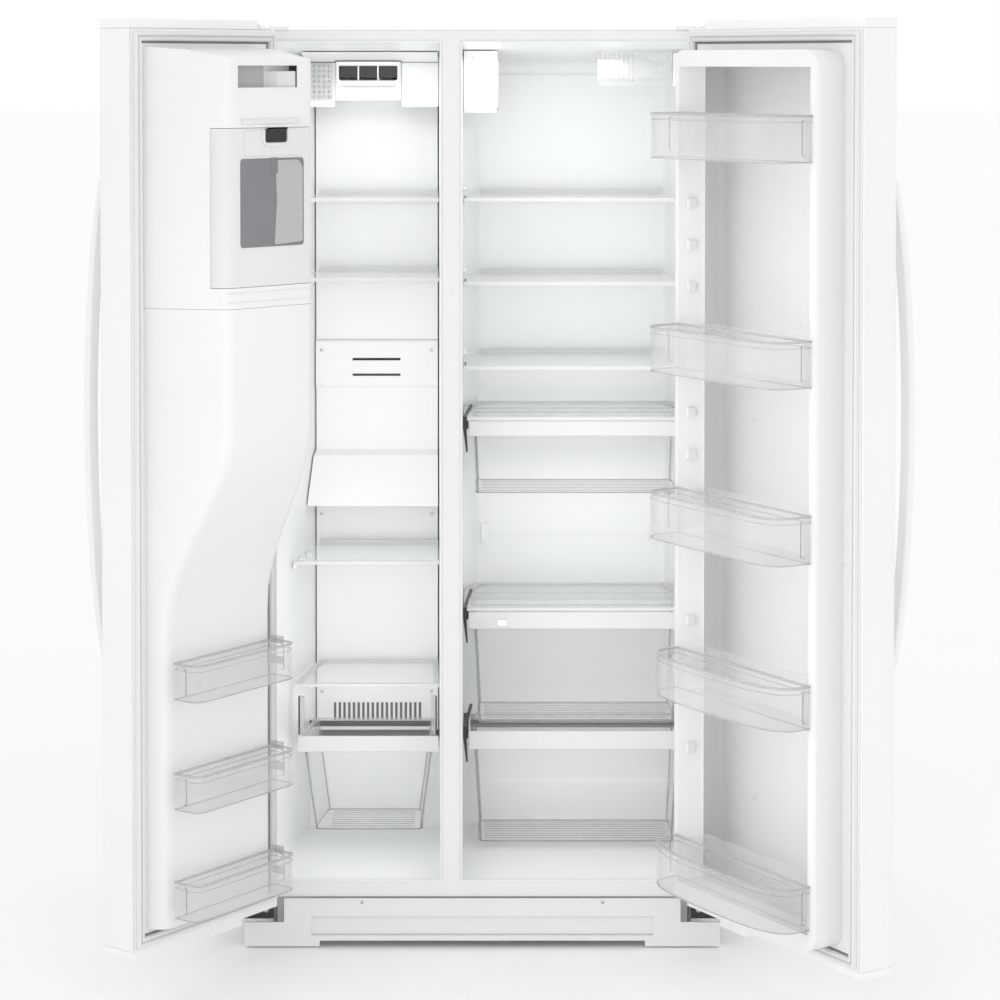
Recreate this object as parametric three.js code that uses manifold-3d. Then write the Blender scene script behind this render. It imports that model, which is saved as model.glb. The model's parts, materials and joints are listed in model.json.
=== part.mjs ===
// Side by side refrigerator: a freezer on the left, a fresh food compartment on the right, one door each.
// Millimetres, +Z up, the doors face -Y. Every piece is drawn with the doors shut, in the cabinet's own
// frame (X from the cabinet's middle, Y back from its front face, Z up from the floor). The two doors are
// then turned open about their hinge pins, and the whole assembly is moved to the row's origin.

import * as THREE from "three";
import { mergeVertices } from "three/addons/utils/BufferGeometryUtils.js";
import Module from "manifold-3d";

const wasm = await Module();
wasm.setup();

// ---------------------------------------------------------------- driving dimensions

const GAP = 0.3; // clearance between pieces that touch
const SHEET = 2; // steel sheet
const PLASTIC = 3; // vacuum-formed liner wall
const CLEAR_WALL = 2.5; // wall of a moulded clear bin or drawer
const GLASS = 4; // shelf glass
const CORNER = 24; // easing of a liner's inner corners

const cabinet = { half: 453, depth: 580, top: 1750, bottom: 96 };
const hingeStrip = { depth: 84, drop: 3 }; // lower front strip of the cabinet's top
const opening = { side: 418, top: 1726, bottom: 128, topAtBack: 1692 };
const mullion = { left: -79.5, right: -38.5 };
const hump = { front: 385, frontTop: 400, top: 290 }; // liner step over the machine compartment
const freezer = { back: 510, draftLeft: 87, draftRight: 11, panel: 437 };
const fresh = { back: 492, cove: 400, coveInset: 30 };

const doors = { top: 1765, bottom: 94, thickness: 80, gasketGap: 14, split: -59.3, splitGap: 3 };
const pivot = { inset: 23, forward: 50, pinRadius: 6 };
const OPEN_FREEZER = 126.8; // degrees from shut, as the part rests
const OPEN_FRESH = 121.9;

const doorInner = -doors.gasketGap; // Y of the door's inner edge
const doorOuter = doorInner - doors.thickness; // Y of the door's outer face
const drawerFront = 200; // Y of the front of shelves and drawers
const ORIGIN = { x: 21.3, y: 42.4 }; // middle of the open refrigerator's footprint

// ---------------------------------------------------------------- shapes

const points2 = (points) => points.map(([x, y]) => new THREE.Vector2(x, y));
const extruded = (shape, depth, curveSegments = 6) =>
  new THREE.ExtrudeGeometry(shape, { depth, bevelEnabled: false, curveSegments });
const toShape = (outline) => (Array.isArray(outline) ? new THREE.Shape(points2(outline)) : outline);

/** Box between two opposite corners. */
function block([x0, y0, z0], [x1, y1, z1]) {
  const box = new THREE.BoxGeometry(x1 - x0, y1 - y0, z1 - z0);
  return solid(box.translate((x0 + x1) / 2, (y0 + y1) / 2, (z0 + z1) / 2));
}

/** Plan outline (X, Y) raised from z0 to z1. */
function raised(outline, z0, z1) {
  return solid(extruded(toShape(outline), z1 - z0).translate(0, 0, z0));
}

/** Side outline (Y, Z) run across from x0 to x1. */
function across(outline, x0, x1) {
  const turn = new THREE.Matrix4().makeBasis(
    new THREE.Vector3(0, 1, 0),
    new THREE.Vector3(0, 0, 1),
    new THREE.Vector3(1, 0, 0),
  );
  return solid(extruded(toShape(outline), x1 - x0).applyMatrix4(turn).translate(x0, 0, 0));
}

/** Front outline (X, Z) pushed back from y0 to y1. */
function pushed(outline, y0, y1) {
  const turn = new THREE.Matrix4().makeBasis(
    new THREE.Vector3(1, 0, 0),
    new THREE.Vector3(0, 0, 1),
    new THREE.Vector3(0, -1, 0),
  );
  return solid(extruded(toShape(outline), y1 - y0).applyMatrix4(turn).translate(0, y1, 0));
}

/** Round bar along an axis ("x", "y" or "z") from its start point. */
function rod(axis, [x, y, z], radius, length, sides = 16) {
  const bar = new THREE.CylinderGeometry(radius, radius, length, sides);
  bar.translate(0, length / 2, 0);
  if (axis === "x") bar.rotateZ(-Math.PI / 2);
  if (axis === "z") bar.rotateX(Math.PI / 2);
  return solid(bar.translate(x, y, z));
}

/** Skin over rings of equally many points, the first and last rings closed by fans. */
function loft(rings) {
  const count = rings[0].length;
  const position = rings.flat(2);
  const index = [];
  for (let r = 0; r + 1 < rings.length; r++)
    for (let i = 0; i < count; i++) {
      const a = r * count + i;
      const b = r * count + ((i + 1) % count);
      index.push(a, b, b + count, a, b + count, a + count);
    }
  const last = (rings.length - 1) * count;
  for (let i = 1; i + 1 < count; i++) {
    index.push(0, i + 1, i);
    index.push(last, last + i, last + i + 1);
  }
  const skin = new THREE.BufferGeometry();
  skin.setAttribute("position", new THREE.Float32BufferAttribute(position, 3));
  skin.setIndex(index);
  return solid(skin);
}

/** Rounded rectangle outline. */
function rounded(x0, y0, x1, y1, radius) {
  const shape = new THREE.Shape();
  shape.moveTo(x0 + radius, y0);
  shape.absarc(x1 - radius, y0 + radius, radius, -Math.PI / 2, 0);
  shape.absarc(x1 - radius, y1 - radius, radius, 0, Math.PI / 2);
  shape.absarc(x0 + radius, y1 - radius, radius, Math.PI / 2, Math.PI);
  shape.absarc(x0 + radius, y0 + radius, radius, Math.PI, 1.5 * Math.PI);
  return shape;
}

/** Outline with eased corners: one radius for all, or one for each point, where 0 keeps it sharp. */
function eased(points, radii, steps = 4) {
  const at = (i) => points[(i + points.length) % points.length];
  return points.flatMap((corner, i) => {
    const radius = Array.isArray(radii) ? radii[i] : radii;
    if (!radius) return [corner];
    const toward = (other) => {
      const dx = other[0] - corner[0];
      const dy = other[1] - corner[1];
      const share = Math.min(0.49, radius / Math.hypot(dx, dy));
      return new THREE.Vector2(corner[0] + dx * share, corner[1] + dy * share);
    };
    const middle = new THREE.Vector2(...corner);
    const bend = new THREE.QuadraticBezierCurve(toward(at(i - 1)), middle, toward(at(i + 1)));
    return bend.getPoints(steps).map(({ x, y }) => [x, y]);
  });
}

/** Closed geometry as a manifold solid. */
function solid(geometry) {
  const bare = geometry.clone();
  bare.deleteAttribute("normal");
  bare.deleteAttribute("uv");
  const merged = mergeVertices(bare, 1e-3);
  const made = new wasm.Mesh({
    numProp: 3,
    vertProperties: new Float32Array(merged.attributes.position.array),
    triVerts: new Uint32Array(merged.index.array),
  });
  return new wasm.Manifold(made);
}

const join = (...pieces) => pieces.reduce((a, b) => a.add(b));
const cut = (body, ...tools) => tools.reduce((a, b) => a.subtract(b), body);

/** Manifold solid as a three.js geometry. */
function toGeometry(body) {
  const { numProp, vertProperties, triVerts } = body.getMesh();
  const position = new Float32Array((vertProperties.length / numProp) * 3);
  for (let i = 0; i < position.length / 3; i++)
    position.set(vertProperties.subarray(i * numProp, i * numProp + 3), i * 3);
  const geometry = new THREE.BufferGeometry();
  geometry.setAttribute("position", new THREE.BufferAttribute(position, 3));
  geometry.setIndex(new THREE.BufferAttribute(triVerts, 1));
  return geometry;
}

// ---------------------------------------------------------------- finishes

const finish = (color, roughness, metalness = 0, opacity = 1) =>
  new THREE.MeshStandardMaterial({ color, roughness, metalness, opacity, transparent: opacity < 1 });

const finishes = {
  whitePaint: finish(0xf4f4f2, 0.32),
  whitePlastic: finish(0xf1f2f1, 0.45),
  whiteGloss: finish(0xf6f6f5, 0.25),
  greyPlastic: finish(0xb9bbbc, 0.5),
  gasket: finish(0xdfe0df, 0.7),
  clear: finish(0xe6eaeb, 0.12, 0, 0.35),
  glass: finish(0xdfe8e8, 0.08, 0, 0.35),
  black: finish(0x1c1c1e, 0.5),
  zinc: finish(0x9a9da0, 0.4, 0.9),
  aluminium: finish(0xc4c7c9, 0.35, 0.9),
};

/** Named sub-part. */
function piece(name, body, material) {
  const mesh = new THREE.Mesh(toGeometry(body), material);
  mesh.name = name;
  return mesh;
}

// ---------------------------------------------------------------- cabinet shell

/** X of the freezer's outer wall, and of its wall on the mullion side, at depth y. */
const freezerWall = (y) => -opening.side + (freezer.draftLeft * y) / freezer.back;
const freezerMullion = (y) => mullion.left - (freezer.draftRight * y) / freezer.back;

/** Steel wrapper: top, two sides and the front face frame with the mullion rail welded in. */
function outerCase() {
  const { half, depth, top, bottom } = cabinet;
  const stripTop = top - hingeStrip.drop; // the top's front strip, under the hinge plates
  const step = hingeStrip.depth;
  const outside = [[0, bottom], [0, stripTop], [step, stripTop], [step, top], [depth, top], [depth, bottom]];
  const inside = [
    [SHEET, bottom - 1],
    [SHEET, stripTop - SHEET],
    [step + SHEET, stripTop - SHEET],
    [step + SHEET, top - SHEET],
    [depth + 1, top - SHEET],
    [depth + 1, bottom - 1],
  ];
  const shell = cut(across(outside, -half, half), across(inside, -half + SHEET, half - SHEET));
  const edge = PLASTIC + GAP;
  const low = opening.bottom - edge;
  const high = opening.top + edge;
  return cut(
    shell,
    block([-opening.side - edge, -1, low], [mullion.left + edge, SHEET + 1, high]),
    block([mullion.right - edge, -1, low], [opening.side + edge, SHEET + 1, high]),
  );
}

/** Side outline of a compartment, grown outwards by `grow`. */
function compartmentSide(front, back, grow) {
  const outline = [
    [front, opening.bottom - grow],
    [hump.front + grow, opening.bottom - grow],
    [hump.frontTop + grow, hump.top - grow],
    [back + grow, hump.top + 8 - grow],
    [back + grow, opening.topAtBack + grow],
    [front, opening.top + grow],
  ];
  return eased(outline, [0, CORNER, 12, CORNER, CORNER, 0]);
}

function freezerSpace(front, grow) {
  const back = freezer.back + grow;
  const plan = [
    [freezerWall(0) - grow, front],
    [freezerMullion(0) + grow, front],
    [freezerMullion(freezer.back) + grow, back],
    [freezerWall(freezer.back) - grow, back],
  ];
  const profile = compartmentSide(front, freezer.back, grow);
  const column = raised(eased(plan, [0, 0, CORNER, CORNER]), 0, cabinet.top);
  return column.intersect(across(profile, -cabinet.half, 0));
}

function freshSpace(front, grow) {
  const left = mullion.right - grow;
  const right = opening.side + grow;
  const plan = [
    [left, front],
    [right, front],
    [right - 10, fresh.cove],
    [right - 10 - fresh.coveInset, fresh.back + grow],
    [left + fresh.coveInset, fresh.back + grow],
    [left, fresh.cove],
  ];
  const profile = compartmentSide(front, fresh.back, grow);
  const body = raised(eased(plan, [0, 0, 14, 14, 14, 14]), 0, cabinet.top);
  return body.intersect(across(profile, -cabinet.half, cabinet.half));
}

const freezerLiner = () => cut(freezerSpace(0, PLASTIC), freezerSpace(-1, 0));

const ceiling = (y) => opening.top - ((opening.top - opening.topAtBack) * y) / fresh.back;
const linerSeam = 356; // depth at which the fresh food liner's front walls meet its rear moulding

/** Fresh food liner in four mouldings: rear with floor and coves, ceiling, and two side walls. */
function freshLiner() {
  const whole = cut(freshSpace(0, PLASTIC), freshSpace(-1, 0));
  const { half, top } = cabinet;
  const roof = across(
    [[-1, ceiling(-1)], [linerSeam, ceiling(linerSeam)], [linerSeam, top], [-1, top]],
    -half,
    half,
  );
  const underRoof = across(
    [
      [-1, opening.bottom + GAP],
      [linerSeam, opening.bottom + GAP],
      [linerSeam, ceiling(linerSeam) - GAP],
      [-1, ceiling(-1) - GAP],
    ],
    -half,
    half,
  );
  const walls = whole.intersect(underRoof);
  const middle = (mullion.right + opening.side) / 2;
  return {
    rear: cut(whole, block([-half, -1, opening.bottom], [half, linerSeam + GAP, top])),
    roof: whole.intersect(roof),
    left: cut(walls, block([middle, -1, 0], [half, linerSeam + 1, top])),
    right: cut(walls, block([-half, -1, 0], [middle, linerSeam + 1, top])),
  };
}

/** Rear sheet, with louvres over the machine compartment. */
function backPanel() {
  const side = cabinet.half - SHEET - 1;
  const y = cabinet.depth - SHEET;
  const slot = { width: 100, height: 9, rows: 5, pitch: 24, bottom: 140, left: [-300, -185, 85, 200] };
  let sheet = block([-side, y, cabinet.bottom + 4], [side, cabinet.depth, cabinet.top - SHEET - 1]);
  for (let row = 0; row < slot.rows; row++) {
    const z = slot.bottom + row * slot.pitch;
    for (const x of slot.left)
      sheet = cut(sheet, block([x, y - 1, z], [x + slot.width, cabinet.depth + 1, z + slot.height]));
  }
  return sheet;
}

// ---------------------------------------------------------------- base

const axle = { y: 530, z: 20, radius: 5, roller: 20, width: 26, reach: 441 };
const leg = { x: 400, y: 45, stud: 6, foot: 18, footHeight: 10 };
const pan = { side: 446, top: 95.5, front: 15, back: 572 };

/** Base pan: side rails, a bracket for each end of the roller axle, and a screw leg at each front corner. */
function basePan() {
  const railDrop = 40;
  const inner = pan.side - PLASTIC;
  const plate = block([-pan.side, pan.front, pan.top - PLASTIC], [pan.side, pan.back, pan.top]);
  const brackets = [-1, 1].map((side) => {
    const near = side * (inner - 11);
    const far = side * (inner - 8);
    const bracket = block(
      [Math.min(near, far), axle.y - 15, 8],
      [Math.max(near, far), axle.y + 15, pan.top - 1],
    );
    return cut(bracket, rod("x", [side * inner - 20, axle.y, axle.z], axle.radius + 0.4, 40));
  });
  return join(
    plate,
    block([-pan.side, pan.front, pan.top - railDrop], [-inner, pan.back, pan.top]),
    block([inner, pan.front, pan.top - railDrop], [pan.side, pan.back, pan.top]),
    ...brackets,
    levellingLeg(-1),
    levellingLeg(1),
  );
}

/** Axle with a roller at each end, under the back of the cabinet. */
function rollerAxle() {
  const rollerAt = 395;
  return join(
    rod("x", [-axle.reach, axle.y, axle.z], axle.radius, 2 * axle.reach, 12),
    rod("x", [-rollerAt - axle.width, axle.y, axle.z], axle.roller, axle.width, 32),
    rod("x", [rollerAt, axle.y, axle.z], axle.roller, axle.width, 32),
  );
}

/** Screw leg that levels a front corner. */
function levellingLeg(side) {
  const top = pan.top - 1;
  return join(
    rod("z", [side * leg.x, leg.y, 0], leg.foot, leg.footHeight, 24),
    rod("z", [side * leg.x, leg.y, leg.footHeight - 1], leg.stud, top - leg.footHeight + 1, 12),
  );
}

const grille = { face: -10, top: 96, bottom: 14 };

/** Toe grille: a plate with a recessed middle, foot blocks and a notch for each bottom hinge. */
function baseGrille() {
  const { half } = cabinet;
  const foot = { inner: 310, bottom: 3, top: 24 };
  const notch = { x: 378, z: 50 };
  const band = { x: 330, low: 24, high: 60, depth: 5 };
  const plate = block([-half, grille.face, grille.bottom], [half, -1, grille.top - 1.5]);
  const hollow = block([-half + 4, grille.face + 4, grille.bottom + 4], [half - 4, 1, grille.top - 6]);
  const feet = [-1, 1].map((side) =>
    block(
      [side < 0 ? -half : foot.inner, grille.face, foot.bottom],
      [side < 0 ? -foot.inner : half, 12, foot.top],
    ),
  );
  const backing = block([-band.x, grille.face + 3, band.low - 4], [band.x, grille.face + 9, band.high + 4]);
  const recess = block(
    [-band.x + 4, grille.face - 1, band.low],
    [band.x - 4, grille.face + band.depth, band.high],
  );
  return cut(
    join(cut(plate, hollow), ...feet, backing),
    recess,
    block([-half - 1, grille.face - 1, notch.z], [-notch.x, 13, grille.top]),
    block([notch.x, grille.face - 1, notch.z], [half + 1, 13, grille.top]),
  );
}

// ---------------------------------------------------------------- hinges

const hingeX = (side) => side * (cabinet.half - pivot.inset);
const strap = { half: 16, thickness: 4, reach: 18, back: 75 };

/** Plate screwed to the cabinet's top, with a pin that drops into the door's top cap. */
function topHinge(side) {
  const x = hingeX(side);
  const z = cabinet.top + 2;
  const front = -pivot.forward - strap.reach;
  const holes = [25, 60].map((y) => rod("z", [x, y, cabinet.top - 5], 3, 20, 12));
  return cut(
    join(
      block([x - strap.half, front, z], [x + strap.half, strap.back, z + strap.thickness]),
      block([x - strap.half, 8, cabinet.top - hingeStrip.drop + GAP], [x + strap.half, strap.back, z + 1]),
      rod("z", [x, -pivot.forward, z - 14], pivot.pinRadius, 15),
    ),
    ...holes,
  );
}

/** Angle on the cabinet's foot, with a pin that stands up into the door's bottom cap. */
function bottomHinge(side) {
  const x = hingeX(side);
  const top = doors.bottom - 3;
  const wide = 32;
  const back = 6;
  const cheek = block([x - wide, -7, 56], [x + wide, back, top]);
  const arm = block([x - strap.half, -pivot.forward - strap.reach, top - 6], [x + strap.half, -6, top]);
  const foot = block([x - strap.half, -7, 56], [x + strap.half, 14, 62]);
  return join(cheek, arm, foot, rod("z", [x, -pivot.forward, top - 1], pivot.pinRadius, 16));
}

// ---------------------------------------------------------------- machine compartment

/** Sealed compressor can on its feet. */
function compressor() {
  const radius = 78;
  const floor = pan.top + GAP;
  const profile = [
    [0, 8],
    [radius * 0.85, 8],
    [radius, 30],
    [radius, 120],
    [radius * 0.86, 150],
    [radius * 0.5, 166],
    [0, 170],
  ];
  const can = new THREE.LatheGeometry(points2(profile), 24);
  can.rotateX(Math.PI / 2);
  const at = { x: 300, y: 490 };
  const feet = block([at.x - 80, at.y - 70, floor], [at.x + 80, at.y + 70, floor + 12]);
  return join(solid(can.translate(at.x, at.y, floor)), feet);
}

const fanAt = { condenser: [60, 490, 190], evaporator: [-215, 470, 1180] };

/** Tube-and-fin heat exchanger: plates along X held by end sheets and tubes. */
function finnedCoil([x0, y0, z0], [x1, y1, z1], fins) {
  const step = (x1 - x0 - 2) / (fins - 1);
  const plates = Array.from({ length: fins }, (_, i) => {
    const x = x0 + i * step;
    return block([x, y0, z0], [x + 2, y1, z1]);
  });
  const tubes = [];
  for (let row = 0; row < 4; row++) {
    const z = z0 + ((row + 0.5) * (z1 - z0)) / 4;
    tubes.push(rod("x", [x0 - 6, (y0 + y1) / 2, z], 5, x1 - x0 + 12, 8));
  }
  return join(...plates, ...tubes);
}

/** Fan rotor with swept blades, its axis along the given direction. */
function fan(axis, [x, y, z], radius) {
  const hub = new THREE.CylinderGeometry(radius * 0.3, radius * 0.3, 22, 16);
  let rotor = solid(hub);
  const blades = 5;
  for (let i = 0; i < blades; i++) {
    const blade = new THREE.BoxGeometry(radius * 0.8, 2, radius * 0.5);
    blade.rotateX(0.5);
    blade.translate(radius * 0.6, 0, 0);
    blade.rotateY((i * 2 * Math.PI) / blades);
    rotor = rotor.add(solid(blade));
  }
  const geometry = toGeometry(rotor);
  if (axis === "x") geometry.rotateZ(-Math.PI / 2);
  return solid(geometry.translate(x, y, z));
}

// ---------------------------------------------------------------- freezer fittings

/** Moulded cover over the evaporator: it steps, leans forward as a light panel, and ends in a vent grille. */
function freezerBackPanel() {
  const y = freezer.panel;
  const skin = PLASTIC;
  const top = 1690;
  const bottom = 312;
  const ledge = { out: 80, top: 892, brow: 884, lip: 794, under: 786 };
  const front = [
    [y, top], [y, 1120], [y - 5, 1114], [y - 5, 1026], [y, 1020], [y, ledge.top],
    [y - 25, ledge.brow], [y - ledge.out, ledge.lip], [y - ledge.out, ledge.lip - 6],
    [y, ledge.under - 2], [y, bottom],
  ];
  const rear = [
    [y + skin, bottom], [y + skin, ledge.under + 1], [y - ledge.out + skin, ledge.lip - 3],
    [y - ledge.out + skin, ledge.lip - 1.5], [y - 22.4, ledge.brow - 1.6], [y + skin, ledge.top - 2],
    [y + skin, 1020], [y - 5 + skin, 1026], [y - 5 + skin, 1114], [y + skin, 1120], [y + skin, top],
  ];
  const edge = 2.5; // clearance to the liner's walls
  const near = y - ledge.out - 1;
  const far = y + skin + 1;
  const between = [
    [freezerWall(near) + edge, near],
    [freezerMullion(near) - edge, near],
    [freezerMullion(far) - edge, far],
    [freezerWall(far) + edge, far],
  ];
  const sheet = across([...front, ...rear], -cabinet.half, 0);
  let panel = sheet.intersect(raised(between, bottom - 1, top + 1));
  const slots = { x0: -266, x1: -168, z: [1047, 1079] };
  for (const z of slots.z)
    panel = cut(panel, block([slots.x0, y - 9, z - 2.5], [slots.x1, y + 9, z + 2.5]));
  const vents = { count: 19, x0: -306, x1: -126, z0: 331, z1: 369, width: 5 };
  for (let i = 0; i < vents.count; i++) {
    const x = vents.x0 + ((vents.x1 - vents.x0 - vents.width) * i) / (vents.count - 1);
    panel = cut(panel, block([x, y - 9, vents.z0], [x + vents.width, y + 9, vents.z1]));
  }
  return join(panel, freezerDuct());
}

/** Cold air outlet under the freezer's ceiling, with three openings in its face. */
function freezerDuct() {
  const face = 345;
  const x0 = -296;
  const x1 = -163;
  const bottom = 1611;
  const top = 1690;
  const rise = 12; // the duct's floor climbs to the rear
  const wall = 2.5;
  const rear = freezer.panel + 1;
  const outside = [[face, bottom], [rear, bottom + rise], [rear, top], [face, top]];
  const inside = [
    [face + wall, bottom + wall],
    [rear + 1, bottom + rise + wall],
    [rear + 1, top - wall],
    [face + wall, top - wall],
  ];
  let duct = cut(across(outside, x0, x1), across(inside, x0 + wall, x1 - wall));
  const vent = { count: 3, first: x0 + 8, pitch: 41, width: 36, z0: 1652, z1: 1678 };
  for (let i = 0; i < vent.count; i++) {
    const x = vent.first + i * vent.pitch;
    duct = cut(duct, block([x, face - 1, vent.z0], [x + vent.width, face + 4, vent.z1]));
  }
  return duct;
}

/** Freezer shelf: glass that narrows to the back between the drafted walls, in a moulded edge. */
function freezerShelf(top) {
  const back = freezer.panel - 9;
  return join(
    raised(freezerPlan(12, drawerFront + 4, back), top - GLASS - 0.5, top - 0.5),
    raised(freezerPlan(12, drawerFront, drawerFront + 10), top - 8, top),
    raised(freezerPlan(12, back - 10, back), top - 8, top + 6),
  );
}

/** Trapezoid plan between depths y0 and y1, wider at the front. */
const tapered = ([left0, right0], [left1, right1], y0, y1) => [
  [left0, y0], [right0, y0], [right1, y1], [left1, y1],
];

/** Plan moved inwards by a wall's thickness. */
function shrunk(plan, wall) {
  const middle = [0, 1].map((k) => plan.reduce((sum, point) => sum + point[k], 0) / plan.length);
  return plan.map((point) => point.map((v, k) => v - wall * Math.sign(v - middle[k])));
}

/** Open tub with sloping walls and eased corners: `low` and `high` are four-point plans. */
function tub(low, high, bottom, top, wall = CLEAR_WALL) {
  const radius = 16;
  const ring = (plan, r, z) => eased(plan, r).map(([x, y]) => [x, y, z]);
  const between = (a, b, t) => a.map((point, i) => point.map((v, k) => v + (b[i][k] - v) * t));
  const inner = (t) => between(shrunk(low, wall), shrunk(high, wall), t);
  const rise = top - bottom;
  const inside = radius - wall;
  return cut(
    loft([ring(low, radius, bottom), ring(high, radius, top)]),
    loft([ring(inner(wall / rise), inside, bottom + wall), ring(inner(1 + 1 / rise), inside, top + 1)]),
  );
}

/** Rim along a drawer's top edge. */
function tubRim(plan, top, width, height) {
  const [[x0, y0], [x1], [x2, y1], [x3]] = plan;
  const outer = tapered([x0 - width, x1 + width], [x3 - width, x2 + width], y0, y1 + width);
  const inner = shrunk(plan, CLEAR_WALL - 0.5);
  const body = raised(eased(outer, 16), top - height, top);
  return cut(body, raised(eased(inner, 13), top - height - 1, top + 1));
}

/** Drawer: a clear tub with a rim, behind a white front rail. */
function drawer({ front, back, y1, bottom, railBottom, top, taper }) {
  const inset = 7;
  const y0 = drawerFront + 3;
  const rimTop = top - 4;
  const sides = ([a, b], by) => [a + by, b - by];
  const high = tapered(sides(front, inset), sides(back, inset), y0, y1);
  const low = tapered(sides(front, inset + taper), sides(back, inset + taper), y0 + 8, y1 - 12);
  const rail = raised(tapered(front, front, drawerFront, drawerFront + 14), railBottom, top);
  return join(tub(low, high, bottom, rimTop), tubRim(high, rimTop, inset - 3, 6), rail);
}

/** Lid above a drawer: glass in a moulded frame, on a plan of four or six points. */
function drawerCover(plan, inner, z) {
  const height = 7;
  return join(
    cut(raised(plan, z, z + height), raised(inner(12), z - 1, z + height + 1)),
    raised(inner(11), z + 1, z + 1 + GLASS),
  );
}

const basket = {
  front: [-364, -87], back: [-345, -92], y1: 372, bottom: 167, railBottom: 324, top: 356, taper: 24,
};

/** Plan between the freezer's walls from y0 to y1, with room left at both sides. */
const freezerPlan = (room, y0, y1) =>
  tapered(
    [freezerWall(y0) + room, freezerMullion(y0) - 1.5],
    [freezerWall(y1) + room, freezerMullion(y1) - 1.5],
    y0,
    y1,
  );

function freezerBasketCover() {
  const y0 = drawerFront + 2;
  const y1 = freezer.panel - 9;
  const inner = (by) =>
    freezerPlan(10, y0 + by, y1 - by).map(([x, y], i) => [i === 0 || i === 3 ? x + by : x - by, y]);
  return drawerCover(freezerPlan(10, y0, y1), inner, 453);
}

// ---------------------------------------------------------------- fresh food fittings

const freshLeft = mullion.right + 2;
const freshRight = 404;
const deli = { front: [-26, 398], y1: 396, bottom: 837, railBottom: 951, top: 981, taper: 6 };
const upperCrisper = { front: [-26, 398], y1: 396, bottom: 380, railBottom: 569, top: 603, taper: 10 };
const lowerCrisper = { front: [-26, 398], y1: 374, bottom: 143, railBottom: 329, top: 366, taper: 12 };
const freshDrawer = (sizes) => drawer({ ...sizes, back: sizes.front });

/** Plan between the fresh food walls from y0 to y1, following the coves at the rear wall. */
function freshPlan(left, right, y0, y1, by = 0) {
  const slope = fresh.coveInset / (fresh.back - fresh.cove);
  const lean = (y) => Math.max(0, (y - fresh.cove) * slope) + 1;
  const cove = Math.min(fresh.cove, y1 - 1);
  return [
    [left + by, y0 + by],
    [right - by, y0 + by],
    [right - by, cove - by],
    [right - lean(y1) - by, y1 - by],
    [left + lean(y1) + by, y1 - by],
    [left + by, cove - by],
  ];
}

/** Cantilever shelf: glass, a front trim and two arms that hook on the rear wall. */
function freshShelf(top) {
  const back = fresh.back - 10;
  const arm = (x) => block([x, drawerFront + 10, top - 22], [x + 4, fresh.cove - 4, top - 5]);
  return join(
    raised(freshPlan(freshLeft, freshRight, drawerFront + 4, back), top - GLASS - 0.5, top - 0.5),
    block([freshLeft, drawerFront, top - 8], [freshRight, drawerFront + 10, top]),
    block([freshLeft + 34, back - 10, top - 8], [freshRight - 34, back, top + 6]),
    arm(freshLeft + 2),
    arm(freshRight - 6),
  );
}

function freshCover(z) {
  const plan = (by) => freshPlan(freshLeft, freshRight, drawerFront + 2, fresh.back - 20, by);
  return drawerCover(plan(0), plan, z);
}

/** Slide of the humidity vent on the upper crisper's rail. */
function humiditySlider() {
  const slider = { x: 30, width: 18, z0: 576, z1: 588, depth: 4 };
  const face = drawerFront - GAP;
  return block([slider.x, face - slider.depth, slider.z0], [slider.x + slider.width, face, slider.z1]);
}

/** Z of the sloping ceiling at depth y. */
/** Control and filter housing in the upper left corner. */
function controlBox() {
  const y0 = 195;
  const y1 = 390;
  const top = (y) => ceiling(y) - 2;
  const side = [[y0, 1600], [y0 + 14, 1588], [y1, 1588], [y1, top(y1)], [y0, top(y0)]];
  const wall = PLASTIC;
  const hollow = [
    [y0 + wall, 1603], [y0 + 16, 1591], [y1 + 2, 1591], [y1 + 2, top(y1) - wall], [y0 + wall, top(y0) - wall],
  ];
  return cut(across(side, freshLeft, 30), across(hollow, freshLeft + wall, 30 - wall));
}

/** Clear lamp housing under the ceiling at the right. */
function lightCover() {
  const y0 = 195;
  const y1 = 300;
  const top = (y) => ceiling(y) - 2;
  const side = [[y0, 1655], [y0 + 16, 1641], [y1, 1655], [y1, top(y1)], [y0, top(y0)]];
  const wall = CLEAR_WALL;
  const hollow = [
    [y0 + wall, 1657], [y0 + 17, 1644], [y1 - wall, 1657], [y1 - wall, top(y1) + 5], [y0 + wall, top(y0) + 5],
  ];
  return cut(across(side, 227, 372), across(hollow, 227 + wall, 372 - wall));
}

// ---------------------------------------------------------------- doors

const freezerEdge = { hinge: -cabinet.half, free: doors.split - doors.splitGap / 2 };
const freshEdge = { hinge: cabinet.half, free: doors.split + doors.splitGap / 2 };
const capHeight = { top: 17, bottom: 12 };
const panelTop = doors.top - capHeight.top;
const panelBottom = doors.bottom + capHeight.bottom;

/** Door plan outline (X, Y), its outer corners rounded, shrunk by `inset`. */
function doorOutline({ hinge, free }, inset = 0) {
  const x0 = Math.min(hinge, free) + inset;
  const x1 = Math.max(hinge, free) - inset;
  const y0 = doorOuter + inset;
  const y1 = doorInner;
  const corner = 16 - inset;
  const shape = new THREE.Shape();
  shape.moveTo(x0, y1);
  shape.lineTo(x0, y0 + corner);
  shape.absarc(x0 + corner, y0 + corner, corner, Math.PI, 1.5 * Math.PI);
  shape.absarc(x1 - corner, y0 + corner, corner, 1.5 * Math.PI, 2 * Math.PI);
  shape.lineTo(x1, y1);
  return shape;
}

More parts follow.
